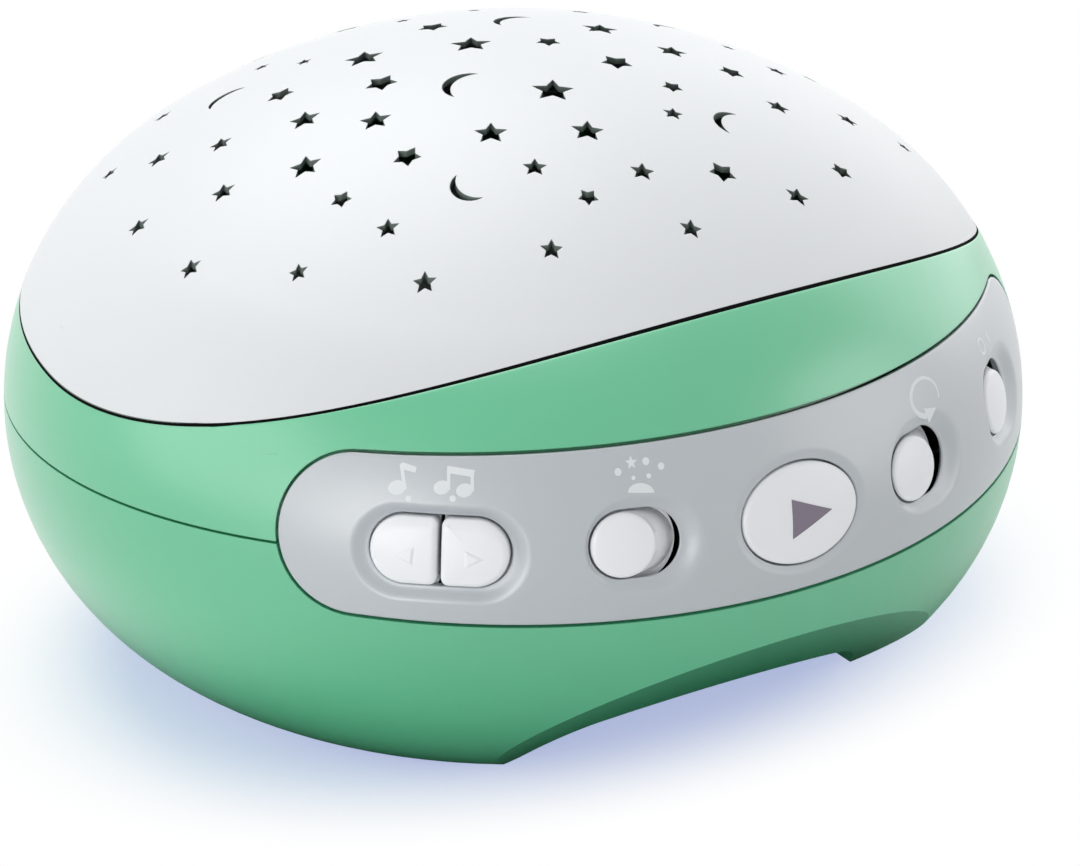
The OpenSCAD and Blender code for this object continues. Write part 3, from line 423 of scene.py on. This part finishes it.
def arcs_outline(circles, step=0.25):
    """Outline round a row of circles (x, y, radius, from, to in degrees), with the straight lines between them.

    Gives the points and their outward normals, counter-clockwise.
    """
    points, normals = [], []
    for i, (x, y, r, start, end) in enumerate(circles):
        count = max(int(r * math.radians(end - start) / step), 4)
        angle = np.radians(np.linspace(start, end, count))
        normal = np.stack([np.cos(angle), np.sin(angle)], -1)
        points.append(np.array([x, y]) + r * normal)
        normals.append(normal)
        next_x, next_y, next_r, next_start, _ = circles[(i + 1) % len(circles)]
        t = math.radians(next_start)
        head = np.array([next_x + next_r * math.cos(t), next_y + next_r * math.sin(t)])
        gap = np.linalg.norm(head - points[-1][-1])
        share = np.linspace(0, 1, max(int(gap / step), 1) + 1)[1:-1, None]
        points.append(points[-1][-1] * (1 - share) + head * share)
        normals.append(np.repeat(normal[-1:], len(share), 0))
    return np.concatenate(points), np.concatenate(normals)


def oval_outline(w, h, count=160):
    """Outline of an oval (w/2 cos, h/2 sin) and its outward normals (cos/w, sin/h), counter-clockwise."""
    angle = np.linspace(0, 2 * math.pi, count, endpoint=False)
    normal = np.stack([np.cos(angle) / w, np.sin(angle) / h], -1)
    normal /= np.linalg.norm(normal, axis=-1, keepdims=True)
    return np.stack([w / 2 * np.cos(angle), h / 2 * np.sin(angle)], -1), normal


# ---------------------------------------------------------------- the dome's rim

def rim_rise(turn, rim):
    """Rise of a rim: height + radius - sqrt(radius^2 - d^2), d being how far it is in front of the arc's start.

    The skin's radius depends on the rise, so both are stepped together until they meet.
    """
    height, radius, start = rim
    rise = np.full(np.shape(turn), height)
    for _ in range(80):
        skin = shoulder_radius(np.minimum(rise, RIM_HIGHEST))
        ahead = np.maximum(skin * np.cos(np.radians(turn)) + start, 0.0)
        rise = 0.5 * rise + 0.5 * (height + radius - np.sqrt(radius ** 2 - ahead ** 2))
    return rise


def rim_band(name, turn, edge, feather, needed, material):
    """Thin shell along the rim: proud at its edge, falling evenly to its feather, and sunk where it isn't needed."""
    proud = RIM_SUNK + (RIM_PROUD - RIM_SUNK) * needed
    root = np.full(turn.shape, RIM_ROOT)
    across = np.concatenate([[0.03, 0.06], np.linspace(0.1, 1.0, 12)])
    top = [-(proud + (RIM_SUNK - proud) * np.clip(share / RIM_FALL, 0, 1)) for share in across]
    shares = [0.0, 0.0, *across, 1.0]
    depths = [root, RIM_ROLL - proud, *top, root]
    rings = [body_point(turn, edge + (feather - edge) * share, depth) for share, depth in zip(shares, depths)]
    rings.append(rings[0])
    outwards(make_piece(name, [(np.stack(rings), True)], "housing", material, RIM_SHARP))


def dome_rim():
    """The rim's line: green over the dome in front, white over the housing behind, and painted gap shade between
    them.

    The solid's rim is flatter than the one shown, so these shells move its line along the skin.
    """
    turn = np.linspace(-180, 180, 720, endpoint=False)
    solid, shown = rim_rise(turn, SOLID_RIM), rim_rise(turn, SHOWN_RIM)

    def needed(shift):
        """Smooth step, 3 s^2 - 2 s^3, from no shift of the rim to the least shift that needs the full height."""
        share = np.clip(shift / RIM_EASE, 0, 1)
        return share ** 2 * (3 - 2 * share)

    rim_band("rim_green_band", turn, shown - RIM_GAP / 2, solid - RIM_FEATHER, needed(shown - solid),
             green_abs)
    rim_band("rim_white_band", turn, shown + RIM_GAP / 2, solid + RIM_FEATHER, needed(solid - shown),
             dome_abs)
    # A black strip along the shown rim is the gap's painted shade
    half = RIM_GAP / 2 + STRIP_LAP
    section = ((-half, RIM_ROOT), (-half, -STRIP_PROUD), (half, -STRIP_PROUD), (half, RIM_ROOT), (-half, RIM_ROOT))
    rings = [body_point(turn, shown + side, depth) for side, depth in section]
    outwards(make_piece("rim_gap_shade_strip", [(np.stack(rings), True)], "housing", painted_gap_shade, RIM_SHARP))


# ---------------------------------------------------------------- the panel

def panel_top(turn):
    """Rise of the panel's top edge: a plane that falls towards the back, met with the skin step by step."""
    rise = np.full(np.shape(turn), PANEL_TOP - 1.0)
    for _ in range(30):
        y = shoulder_radius(rise) * np.cos(np.radians(turn))
        rise = PANEL_TOP - (PANEL_Y - y) * math.tan(math.radians(PANEL_TOP_TILT))
    return rise


def panel_bottom(turn):
    """Rise of the panel's bottom edge: a plane that climbs towards the back."""
    y = BODY_R * np.cos(np.radians(turn))
    return PANEL_BOTTOM + (PANEL_Y - y) * math.tan(math.radians(PANEL_BOTTOM_TILT))


def panel_end(side, angle, inset):
    """Round end: a circle between the two edges' ends, seen along the end's direction; angle 0 is its top."""
    top, bottom = float(panel_top(np.array(PANEL_TURN))), float(panel_bottom(np.array(PANEL_TURN)))
    r = (top - bottom) / 2 - inset
    rise = (top + bottom) / 2 + r * np.cos(angle)
    arc = np.where(rise >= 0, SHOULDER_R, BOWL_R)
    radius = BODY_R - arc * (1 - np.sqrt(1 - (rise / arc) ** 2))
    return side * (PANEL_TURN + np.degrees(np.arcsin(r * np.sin(angle) / radius))), rise


def stadium_distance(xy, l, h):
    """Distance outside a stadium: to its middle line, less half its height."""
    return np.hypot(np.maximum(np.abs(xy[..., 0]) - (l - h) / 2, 0), xy[..., 1]) - h / 2


def oval_distance(xy, w, h):
    """Distance outside an oval, to first order: level times its excess over 1, over the gradient's length."""
    level = np.hypot(xy[..., 0] / (w / 2), xy[..., 1] / (h / 2)) + 1e-9
    slope = np.hypot(xy[..., 0] / (w / 2) ** 2, xy[..., 1] / (h / 2) ** 2) + 1e-9
    return level * (level - 1) / slope


def ray_to(distance, direction, reach=40.0):
    """Point of a closed outline along rays from its middle, by halving the interval in which the distance turns."""
    near, far = np.zeros(len(direction)), np.full(len(direction), reach)
    for _ in range(40):
        middle = (near + far) / 2
        outside = distance(direction * middle[:, None]) > 0
        near, far = np.where(outside, near, middle), np.where(outside, middle, far)
    return direction * far[:, None]


def panel_cell(turn, opening, dish, depth, undercut, sides):
    """The panel round one control: back sheet, wall of the opening, rolled lip, dish and face, as closed rings.

    The rings run from the opening to the cell's sides. An undercut leans the wall out under the lip, into the dark.
    The back sheet bends from the panel's thickness to the depth of the pad round the opening.
    """
    place = Control(turn)
    edge = np.concatenate([body_point(t[:-1], z[:-1]) for t, z in sides])
    edge_back = np.concatenate([body_point(t[:-1], z[:-1], PANEL_T) for t, z in sides])
    rim, rim_back = place.local(edge), place.local(edge_back)
    direction = rim / np.linalg.norm(rim, axis=-1, keepdims=True)
    hole = ray_to(opening, direction)
    hole_back = ray_to(lambda xy: opening(xy) - undercut, direction)
    lip = ray_to(lambda xy: opening(xy) - LIP_R, direction)
    pad = np.full(len(direction), -PAD_DEPTH)

    def dish_fall(xy):
        """Half a cosine wave from the dish's rim to the opening, times a depth that is a function of (x, y)."""
        inside, outside = np.maximum(opening(xy), 0), np.maximum(-dish(xy), 0)
        share = np.where(outside > 0, inside / (inside + outside + 1e-9), 1.0)
        return depth(xy) * 0.5 * (1 + np.cos(math.pi * share))

    rings = [edge_back]
    for share in (0.75, 0.5, 0.3, 0.15, 0.06):
        xy = hole_back + (rim_back - hole_back) * share
        near = np.clip((PAD_END - (opening(xy) - undercut)) / (PAD_END - PAD_FLAT), 0, 1)[:, None]
        rings.append(place.skin(xy, PANEL_T) * (1 - near) + place.plane(xy, pad) * near)
    wall_foot = place.plane(hole_back, pad)
    rings.append(wall_foot)
    fall = dish_fall(lip)
    wall_top = place.skin(hole_back, fall + LIP_R + LEAN_DROP * undercut)
    rings += [wall_foot * share + wall_top * (1 - share) for share in (0.6, 0.25)]
    for angle in QUARTER_ROUND:
        xy = lip + (hole - lip) * math.cos(angle)
        rings.append(place.skin(xy, fall + LIP_R * (1 - math.sin(angle))))
    for share in np.linspace(0, 1, 30)[1:-1] ** 1.5:
        xy = lip + (rim - lip) * share
        rings.append(place.skin(xy, dish_fall(xy)))
    rings.append(edge)
    return np.stack(rings), True


def panel_edge(outline):
    """Rolled outer edge: from the face over a quarter round, down the side and in to the back sheet."""
    rings = [body_point(*outline(EDGE_R * (1 - math.sin(a))), EDGE_R * (1 - math.cos(a)))
             for a in QUARTER_ROUND]
    rings.append(body_point(*outline(0.0), PANEL_T - EDGE_R))
    rings.append(body_point(*outline(EDGE_R), PANEL_T))
    return np.stack(rings), False


def control_panel():
    """Five cells side by side, each round one control, and the rolled edge all round; the cells share their sides.

    Openings and dishes are distances outside a stadium or an oval.
    """
    keys = lambda xy: stadium_distance(xy - KEYS_MIDDLE, KEYS_L + 2 * KEY_GAP, KEYS_H + 2 * KEY_GAP)
    keys_dish = lambda xy: stadium_distance(xy - KEYS_DISH_MIDDLE, KEYS_DISH_L, KEYS_DISH_H)
    play = lambda xy: oval_distance(xy, PLAY_W + 2 * KEY_GAP, PLAY_H + 2 * KEY_GAP)
    play_dish = lambda xy: oval_distance(xy, PLAY_DISH_W, PLAY_DISH_H)
    slot = lambda xy: stadium_distance(xy, SLOT_L, KNOB_D + 2 * KEY_GAP)
    slot_dish = lambda xy: stadium_distance(xy - SLOT_DISH_MIDDLE, SLOT_DISH_L, SLOT_DISH_H)
    slant = lambda xy: np.clip(xy[..., 0] / SLOT_SLANT_REACH, SLOT_SLANT_LEAST, 1.0)
    slot_cell = (slot, slot_dish, lambda xy: SLOT_DISH_DEPTH + SLOT_DISH_SLANT * slant(xy), SLOT_UNDERCUT)
    cells = (
        (KEYS_TURN, keys, keys_dish, lambda xy: np.full(xy.shape[:-1], KEYS_DISH_DEPTH), 0.0),
        (PROJECTOR_TURN, *slot_cell),
        (PLAY_TURN, play, play_dish, lambda xy: np.full(xy.shape[:-1], PLAY_DISH_DEPTH), 0.0),
        (LOOP_TURN, *slot_cell),
        (POWER_TURN, *slot_cell),
    )
    arc = np.linspace(math.pi, 0, 73)
    share = np.linspace(0, 1, 49)

    def cut(turn):
        """Side that two cells share: straight up the face at one turn."""
        low, high = panel_bottom(turn), panel_top(np.array(turn))
        return np.full(share.shape, turn), low + EDGE_R + (high - low - 2 * EDGE_R) * share

    sheets = []
    for i, cell in enumerate(cells):
        left, right = CELL_CUTS[i], CELL_CUTS[i + 1]
        across = np.linspace(right, left, 61)
        top = lambda inset, t=across: (t, panel_top(t) - inset)
        bottom = lambda inset, t=across[::-1]: (t, panel_bottom(t) + inset)
        edges = [top, bottom]
        right_side, left_side = cut(right), tuple(side[::-1] for side in cut(left))
        if i == 0:
            end = lambda inset: panel_end(-1, arc[::-1], inset)
            left_side, edges = end(EDGE_R), edges + [end]
        if i == len(cells) - 1:
            end = lambda inset: panel_end(1, arc, inset)
            right_side, edges = end(EDGE_R), edges + [end]
        sheets.append(panel_cell(*cell, [right_side, top(EDGE_R), left_side, bottom(EDGE_R)]))
        sheets += [panel_edge(edge) for edge in edges]
    make_piece("panel_face", sheets, "housing", grey_abs, PANEL_SHARP, ["control_panel"])


# ---------------------------------------------------------------- keys, button and knobs

def cap_rings(place, outline, normal, middle, proud, crown, round_in, round_down):
    """Pillow top: rings from the middle to the outline drawn in, crowned by a parabola, then a quarter round."""
    inner = outline - normal * round_in[:, None]
    rings = []
    for share in np.linspace(0, 1, 15):
        xy = middle + (inner - middle) * share
        rings.append(place.skin(xy, np.full(len(xy), -proud - crown * (1 - share ** 2))))
    for angle in np.radians(np.linspace(90, 0, 13))[1:]:
        xy = outline - normal * (round_in * (1 - math.cos(angle)))[:, None]
        rings.append(place.skin(xy, -proud + round_down * (1 - math.sin(angle))))
    return rings


def stem_rings(place, outline, flange, middle):
    """What is under a key: its skirt, a flat flange, and a round post, which is a circle at its top and its foot."""
    flat = np.ones(len(outline))
    angle = np.linspace(0, 2 * math.pi, len(outline), endpoint=False)
    circle = middle + POST_R * np.stack([np.cos(angle), np.sin(angle)], -1)
    foot = np.broadcast_to(middle, circle.shape)
    return [place.plane(ring, -depth * flat) for ring, depth in (
        (outline, FLANGE_DEPTH), (flange, FLANGE_DEPTH), (flange, FLANGE_BACK),
        (circle, FLANGE_BACK), (circle, POST_DEPTH), (foot, POST_DEPTH))]


def key_outline(side, growth):
    """Half of a stadium with rounded corners at the split, as an outline round three circles."""
    r, x = KEYS_H / 2 + growth, KEYS_SPLIT / 2 + KEY_CORNER
    points, normals = arcs_outline([
        (x, -r + KEY_CORNER, KEY_CORNER, 180.0, 270.0),
        ((KEYS_L - KEYS_H) / 2, 0.0, r, -90.0, 90.0),
        (x, r - KEY_CORNER, KEY_CORNER, 90.0, 180.0),
    ])
    if side < 0:
        points, normals = points[::-1] * [-1, 1], normals[::-1] * [-1, 1]
    return points + KEYS_MIDDLE, normals


def matched(outline, angle_of):
    """The outline's points that lie in the same directions from the origin as those of another outline."""
    period = 2 * math.pi
    own = np.unwrap(np.arctan2(outline[:, 1], outline[:, 0]))
    wanted = np.unwrap(np.arctan2(angle_of[:, 1], angle_of[:, 0]))
    wanted += period * np.round((own[0] - wanted[0]) / period)
    turns = np.concatenate([own - period, own, own + period])
    ring = np.concatenate([outline] * 3)
    return np.stack([np.interp(wanted, turns, ring[:, 0]), np.interp(wanted, turns, ring[:, 1])], -1)


def track_key(side, name, body):
    """Track key: a pillow on a half stadium, rounded more at the top edge, with its skirt, flange and post."""
    place = Control(KEYS_TURN)
    outline, normal = key_outline(side, 0.0)
    middle = KEYS_MIDDLE + [side * KEYS_L / 4, 0.0]
    flange = matched(key_outline(side, FLANGE)[0] - middle, outline - middle) + middle
    round_in = KEY_ROUND_IN + KEY_ROUND_TOP * np.clip(normal[:, 1], 0, 1) ** 2
    round_down = np.full(len(outline), KEY_ROUND_DOWN)
    rings = cap_rings(place, outline, normal, middle, KEY_PROUD, KEY_CROWN, round_in, round_down)
    rings += stem_rings(place, outline, flange, middle)
    make_piece(name + "_pillow", [(np.stack(rings), True)], body, key_acetal, KEY_SHARP, [name])


def play_button():
    """Play button: an oval flush with the panel, softly rounded, with its skirt, flange and post."""
    place, middle = Control(PLAY_TURN), np.zeros(2)
    outline, normal = oval_outline(PLAY_W, PLAY_H)
    flange = oval_outline(PLAY_W + 2 * FLANGE, PLAY_H + 2 * FLANGE)[0]
    flat = np.ones(len(outline))
    rings = cap_rings(place, outline, normal, middle, 0.0, PLAY_CROWN, PLAY_ROUND_IN * flat, PLAY_ROUND_DOWN * flat)
    rings += stem_rings(place, outline, flange, middle)
    make_piece("play_button_face", [(np.stack(rings), True)], "play_button_body", key_acetal,
               KEY_SHARP, ["play_button"])


def knob(turn, name, body):
    """Slider knob: a crowned round face on a leaning skirt, which is the ramp, and a flat plate behind the slot."""
    place = Control(turn)
    middle = np.array([-SLOT_REST, 0.0])
    outline, normal = oval_outline(KNOB_D, KNOB_D, 144)
    outline = outline + middle
    flat = np.ones(len(outline))
    rings = cap_rings(place, outline, normal, middle, 0.0, KNOB_CROWN, KNOB_ROUND_IN * flat, KNOB_ROUND_DOWN * flat)
    top, low = rings[-1], place.plane(outline + np.array([RAMP_L, 0.0]), -FLANGE_DEPTH * flat)
    rings += [top * (1 - share) + low * share for share in (0.2, 0.4, 0.6, 0.8, 1.0)]
    square = normal / np.maximum(np.abs(normal[:, :1]) / PLATE_LEFT, np.abs(normal[:, 1:]) / PLATE_UP)
    plate = middle + np.where(normal[:, :1] > 0, [PLATE_SHIFT, 0.0] + PLATE_R * normal, square)
    rings += [place.plane(plate, -FLANGE_DEPTH * flat), place.plane(plate, -PLATE_BACK * flat),
              place.plane(np.broadcast_to(middle, plate.shape), -PLATE_BACK * flat)]
    make_piece(name + "_knob", [(np.stack(rings), True)], body, key_acetal, KEY_SHARP, [name])


# ---------------------------------------------------------------- prints

def degrees_per_mm(rise):
    """Turn in degrees that makes a millimetre along the skin: one over the skin's radius."""
    return math.degrees(1 / shoulder_radius(rise))


def corners_outline(corners, steps=8):
    """Straight-sided outline: each side divided into equal steps."""
    corners = np.array(corners, float)
    share = np.linspace(0, 1, steps, endpoint=False)[None, :, None]
    return (corners[:, None] * (1 - share) + np.roll(corners, -1, 0)[:, None] * share).reshape(-1, 2)


def round_outline(turn, rise, w, h, tilt=0.0, count=40):
    """Oval of w by h millimetres, tilted, about a place on the skin."""
    angle = np.linspace(0, 2 * math.pi, count, endpoint=False)
    x, y = w / 2 * np.cos(angle), h / 2 * np.sin(angle)
    t = math.radians(tilt)
    return np.stack([turn + (x * math.cos(t) - y * math.sin(t)) * degrees_per_mm(rise),
                     rise + x * math.sin(t) + y * math.cos(t)], -1)


def star_outline(turn, rise, d):
    """Five-pointed star about a place on the skin: every second corner at under half the radius."""
    angle = np.radians(90 + 36 * np.arange(10))
    r = d / 2 * np.where(np.arange(10) % 2 == 0, 1.0, 0.45)
    corners = np.stack([turn + r * np.cos(angle) * degrees_per_mm(rise), rise + r * np.sin(angle)], -1)
    return corners_outline(corners, 4)


def arc_line(turn, rise, across, up, start, end, count):
    """Places along an oval arc about a place on the skin: (across cos, up sin) from one angle to another."""
    angle = np.radians(np.linspace(start, end, count))
    return np.stack([turn + across * np.cos(angle) * degrees_per_mm(PRINT_ROW), rise + up * np.sin(angle)], -1)


def fan_print(outline, height=INK, skin_depth=0.0, foot=1.0):
    """Thin layer of ink or low relief: rings from the outline's middle to its rim, and its edge down into the skin.

    The foot is the outline's growth at the bottom of the edge.
    """
    if np.sum(outline[:, 0] * np.roll(outline[:, 1], -1) - np.roll(outline[:, 0], -1) * outline[:, 1]) < 0:
        outline = outline[::-1]
    middle = outline.mean(0)
    rings = [middle + (outline - middle) * share for share in (0, 0.2, 0.4, 0.6, 0.8, 1.0)]
    sheet = [body_point(ring[:, 0], ring[:, 1], skin_depth - height) for ring in rings]
    sheet += [body_point(ring[:, 0], ring[:, 1], skin_depth + PRINT_ROOT)
              for ring in (middle + (outline - middle) * foot, rings[0])]
    return np.stack(sheet), True


def stroke_print(line, start_w, end_w, height=INK):
    """Thin stroke of ink: a flat box carried along a line of places, its width changing evenly, closed at both ends.

    Its sides lie half the width from the line, square to it.
    """
    line = np.array(line, float)
    scale = np.array([degrees_per_mm(float(line[:, 1].mean())), 1.0])
    flat = line / scale
    along = np.gradient(flat, axis=0)
    along /= np.linalg.norm(along, axis=-1, keepdims=True)
    side = np.stack([-along[:, 1], along[:, 0]], -1) * np.linspace(start_w, end_w, len(line))[:, None] / 2
    left, right = (flat + side) * scale, (flat - side) * scale
    ring = np.stack([body_point(p[:, 0], p[:, 1], d) for p, d in
                     ((left, -height), (left, PRINT_ROOT), (right, PRINT_ROOT), (right, -height))], 1)
    first, last = ring[:1].mean(1, keepdims=True), ring[-1:].mean(1, keepdims=True)
    return np.concatenate([np.broadcast_to(first, (1, 4, 3)), ring, np.broadcast_to(last, (1, 4, 3))]), True


def bar_print(start, end, start_w, end_w, height):
    """Straight stroke of ink between two places."""
    return stroke_print(np.linspace(start, end, 9), start_w, end_w, height)


def print_piece(name, sheets, body="housing", ink=pale_ink):
    """A print's sheets as one piece."""
    outwards(make_piece(name, sheets, body, ink, PRINT_SHARP))


def panel_prints():
    """Pictograms over the controls: one note, two joined notes, a lamp with stars, a round arrow, off and on marks.

    Every mark is given by its places (turn, rise) on the skin and by its sizes in millimetres.
    """
    print_piece("track_print", [
        fan_print(round_outline(-45.90, 17.86, 2.7, 2.0, 12)),
        bar_print((-45.66, 21.14), (-44.96, 17.75), 0.55, 0.55, INK_OVER),
        bar_print((-45.60, 20.88), (-43.90, 20.45), 0.9, 0.8, INK_TOP),
        fan_print(round_outline(-44.51, 16.49, 0.95, 0.95)),
        fan_print(round_outline(-40.83, 18.34, 2.5, 1.9, 12)),
        fan_print(round_outline(-38.29, 18.10, 2.5, 1.9, 12)),
        bar_print((-40.20, 21.20), (-40.04, 18.10), 0.5, 0.5, INK_OVER),
        bar_print((-37.50, 20.80), (-37.41, 18.00), 0.5, 0.5, INK_OVER),
        bar_print((-40.34, 20.82), (-37.26, 20.40), 0.95, 0.95, INK_TOP),
        fan_print(round_outline(-39.57, 16.91, 0.95, 0.95)),
    ])

    # The lamp: half an oval over a straight foot, which slopes a little
    sweep = np.linspace(0, math.pi, 25)
    lamp = np.stack([-18.53 - 1.5 * np.cos(sweep), 16.97 + 1.35 * np.sin(sweep) + 0.19 * np.cos(sweep)], -1)
    foot = np.linspace(lamp[-1], lamp[0], 12)[1:-1]
    lights = ((-17.63, 21.12, 1.05), (-15.92, 20.24, 1.0), (-20.98, 20.08, 1.05), (-19.27, 19.11, 0.6),
              (-17.49, 19.16, 0.7))
    print_piece("lamp_print", [
        fan_print(np.concatenate([lamp, foot])),
        fan_print(star_outline(-19.35, 21.15, 1.9)),
        *[fan_print(round_outline(turn, rise, d, d)) for turn, rise, d in lights],
    ])

    print_piece("loop_print", [
        stroke_print(arc_line(22.28, 18.43, 3.5, 2.6, -25, 252, 80), 0.30, 0.85),
        fan_print(corners_outline([(21.30, 17.20), (21.60, 14.90), (23.60, 16.25)]), INK_OVER),
    ])
    print_piece("power_print", [
        stroke_print(arc_line(38.2, PRINT_ROW, 1.1, 1.1, 0, 360, 60), 0.4, 0.4),
        bar_print((40.9, 19.5), (40.9, 17.3), 0.45, 0.45, INK),
    ])

    triangle = corners_outline([(-0.88, 12.14), (-1.20, 6.22), (4.23, 9.02)], 16)
    print_piece("play_print", [fan_print(triangle, PLAY_INK, -PLAY_CROWN)], "play_button_body",
                warm_ink)
    for name, body, corners in (
            ("previous_mark", "previous_key_body", [(-45.2, 8.4), (-43.9, 7.5), (-43.8, 9.3)]),
            ("next_mark", "next_key_body", [(-37.8, 9.2), (-37.8, 7.5), (-36.5, 8.4)])):
        mark = fan_print(corners_outline(corners), MARK_H, -KEY_PROUD - MARK_LIFT, MARK_FOOT)
        print_piece(name, [mark], body, key_acetal)


# ---------------------------------------------------------------- studio

def white_share(tree, mirror_level=1.0):
    """How much of the white background a ray gets: all to the camera, a level in mirrors and glass, none as light."""
    ray = add(tree, "ShaderNodeLightPath").outputs
    mirrored = add(tree, "ShaderNodeMath", {"operation": "ADD"}, i0=ray["Is Glossy Ray"],
                   i1=ray["Is Transmission Ray"]).outputs[0]
    faded = add(tree, "ShaderNodeMath", {"operation": "MULTIPLY"}, i0=mirrored, i1=mirror_level).outputs[0]
    return add(tree, "ShaderNodeMath", {"operation": "MAXIMUM"}, i0=ray["Is Camera Ray"], i1=faded).outputs[0]


def paper_floor():
    """Seamless paper: one large square.

    It is white to the eye and in far reflections, with a bluish shadow round the object. What it throws back on the
    object is painted shade close under it and white further out.
    """
    material, tree, output = new_material("studio_paper")
    place = add(tree, "ShaderNodeTexCoord").outputs["Object"]
    oval = add(tree, "ShaderNodeMapping", Vector=place, Rotation=(0, 0, math.radians(SHADOW_TURN)),
               Scale=SHADOW_SHAPE).outputs[0]
    dull = add(tree, "ShaderNodeVectorMath", {"operation": "SUBTRACT"}, i0=place, i1=MIRROR_PLACE).outputs[0]
    off_under, off_dull, off_shadow = [
        add(tree, "ShaderNodeMapRange", {"interpolation_type": "SMOOTHSTEP"}, i1=near, i2=far, i4=most,
            Value=add(tree, "ShaderNodeVectorMath", {"operation": "LENGTH"}, i0=spot).outputs["Value"]).outputs[0]
        for spot, (near, far), most in (
            (place, UNDER_FADE, 1.0), (dull, MIRROR_FADE, MIRROR_LEVEL), (oval, SHADOW_FADE, 1.0))]
    # Painted shade: what the paper throws back on the object is dark close under it
    tone = add(tree, "ShaderNodeMix", TWO_COLOURS, i0=off_under, i6=linear(UNDER_SHADE_TONE), i7=linear(PAPER_TONE))
    bounce = add(tree, "ShaderNodeBsdfDiffuse", Color=tone.outputs[2])
    paper = add(tree, "ShaderNodeBsdfDiffuse", Color=linear(PAPER_LIT))
    shade = add(tree, "ShaderNodeEmission", Color=linear(PAPER_SHADE), Strength=1.0)
    shaded = add(tree, "ShaderNodeAddShader", i0=paper.outputs[0], i1=shade.outputs[0])
    clear = add(tree, "ShaderNodeEmission", Color=linear("#FFFFFF"), Strength=1.0)
    white = add(tree, "ShaderNodeMixShader", Fac=off_shadow, i1=shaded.outputs[0], i2=clear.outputs[0])
    shown = add(tree, "ShaderNodeMixShader", Fac=white_share(tree, off_dull), i1=bounce.outputs[0],
                i2=white.outputs[0])
    tree.links.new(shown.outputs[0], output.inputs["Surface"])
    corners = [(x * FLOOR_HALF, y * FLOOR_HALF, FLOOR_Z) for x, y in ((-1, -1), (1, -1), (1, 1), (-1, 1))]
    mesh = bpy.data.meshes.new("floor")
    mesh.from_pydata(corners, [], [(0, 1, 2, 3)])
    mesh.materials.append(material)
    floor = bpy.data.objects.new("floor", mesh)
    bpy.context.collection.objects.link(floor)


def studio_air():
    """White all round to the eye and in reflections, and a dimmer even light on the object."""
    world = bpy.data.worlds.new("studio_air")
    bpy.context.scene.world = world
    world.use_nodes = True
    tree = world.node_tree
    tree.nodes.clear()
    air = add(tree, "ShaderNodeBackground", Color=linear("#FFFFFF"), Strength=AIR_STRENGTH)
    wall = add(tree, "ShaderNodeBackground", Color=linear("#FFFFFF"), Strength=1.0)
    shown = add(tree, "ShaderNodeMixShader", Fac=white_share(tree), i1=air.outputs[0], i2=wall.outputs[0])
    tree.links.new(shown.outputs[0], add(tree, "ShaderNodeOutputWorld").inputs["Surface"])


def soft_lamps():
    """Round soft lamps, each turned to the object."""
    for name, place, size, watts in LAMPS:
        lamp = bpy.data.lights.new(name, "AREA")
        lamp.shape = "DISK"
        lamp.size = size
        lamp.energy = watts
        holder = bpy.data.objects.new(name, lamp)
        holder.location = place
        aim = mathutils.Vector(LAMP_AIM) - mathutils.Vector(place)
        holder.rotation_mode = "QUATERNION"
        holder.rotation_quaternion = aim.to_track_quat("-Z", "Y")
        bpy.context.collection.objects.link(holder)


def photo_camera():
    """The photograph's camera: it looks back along its direction at the middle of the equator."""
    turn, lift = math.radians(CAMERA_TURN), math.radians(CAMERA_LIFT)
    back = np.array([-math.sin(turn) * math.cos(lift), -math.cos(turn) * math.cos(lift), math.sin(lift)])
    right = np.array([math.cos(turn), -math.sin(turn), 0.0])
    pose = np.eye(4)
    pose[:3, 0], pose[:3, 1], pose[:3, 2] = right, np.cross(back, right), back
    pose[:3, 3] = back * CAMERA_DISTANCE * MM + np.array([0, 0, EQUATOR_H * MM])
    camera = bpy.data.cameras.new("camera")
    camera.sensor_width = SENSOR_W
    camera.lens = FOCAL_PX * SENSOR_W / IMAGE_W
    camera.shift_x = (IMAGE_W / 2 - CENTRE_PX[0]) / IMAGE_W
    camera.shift_y = (CENTRE_PX[1] - IMAGE_H / 2) / IMAGE_W
    camera.clip_end = 20.0
    holder = bpy.data.objects.new("camera", camera)
    holder.matrix_world = mathutils.Matrix(pose.tolist())
    bpy.context.collection.objects.link(holder)
    bpy.context.scene.camera = holder


dress_nodes()
dome_rim()
control_panel()
track_key(-1, "previous_key", "previous_key_body")
track_key(1, "next_key", "next_key_body")
play_button()
knob(PROJECTOR_TURN, "projector_slider", "projector_slider_body")
knob(LOOP_TURN, "loop_slider", "loop_slider_body")
knob(POWER_TURN, "power_slider", "power_slider_body")
panel_prints()
bpy.context.scene.view_settings.view_transform = "Standard"
paper_floor()
studio_air()
soft_lamps()
photo_camera()
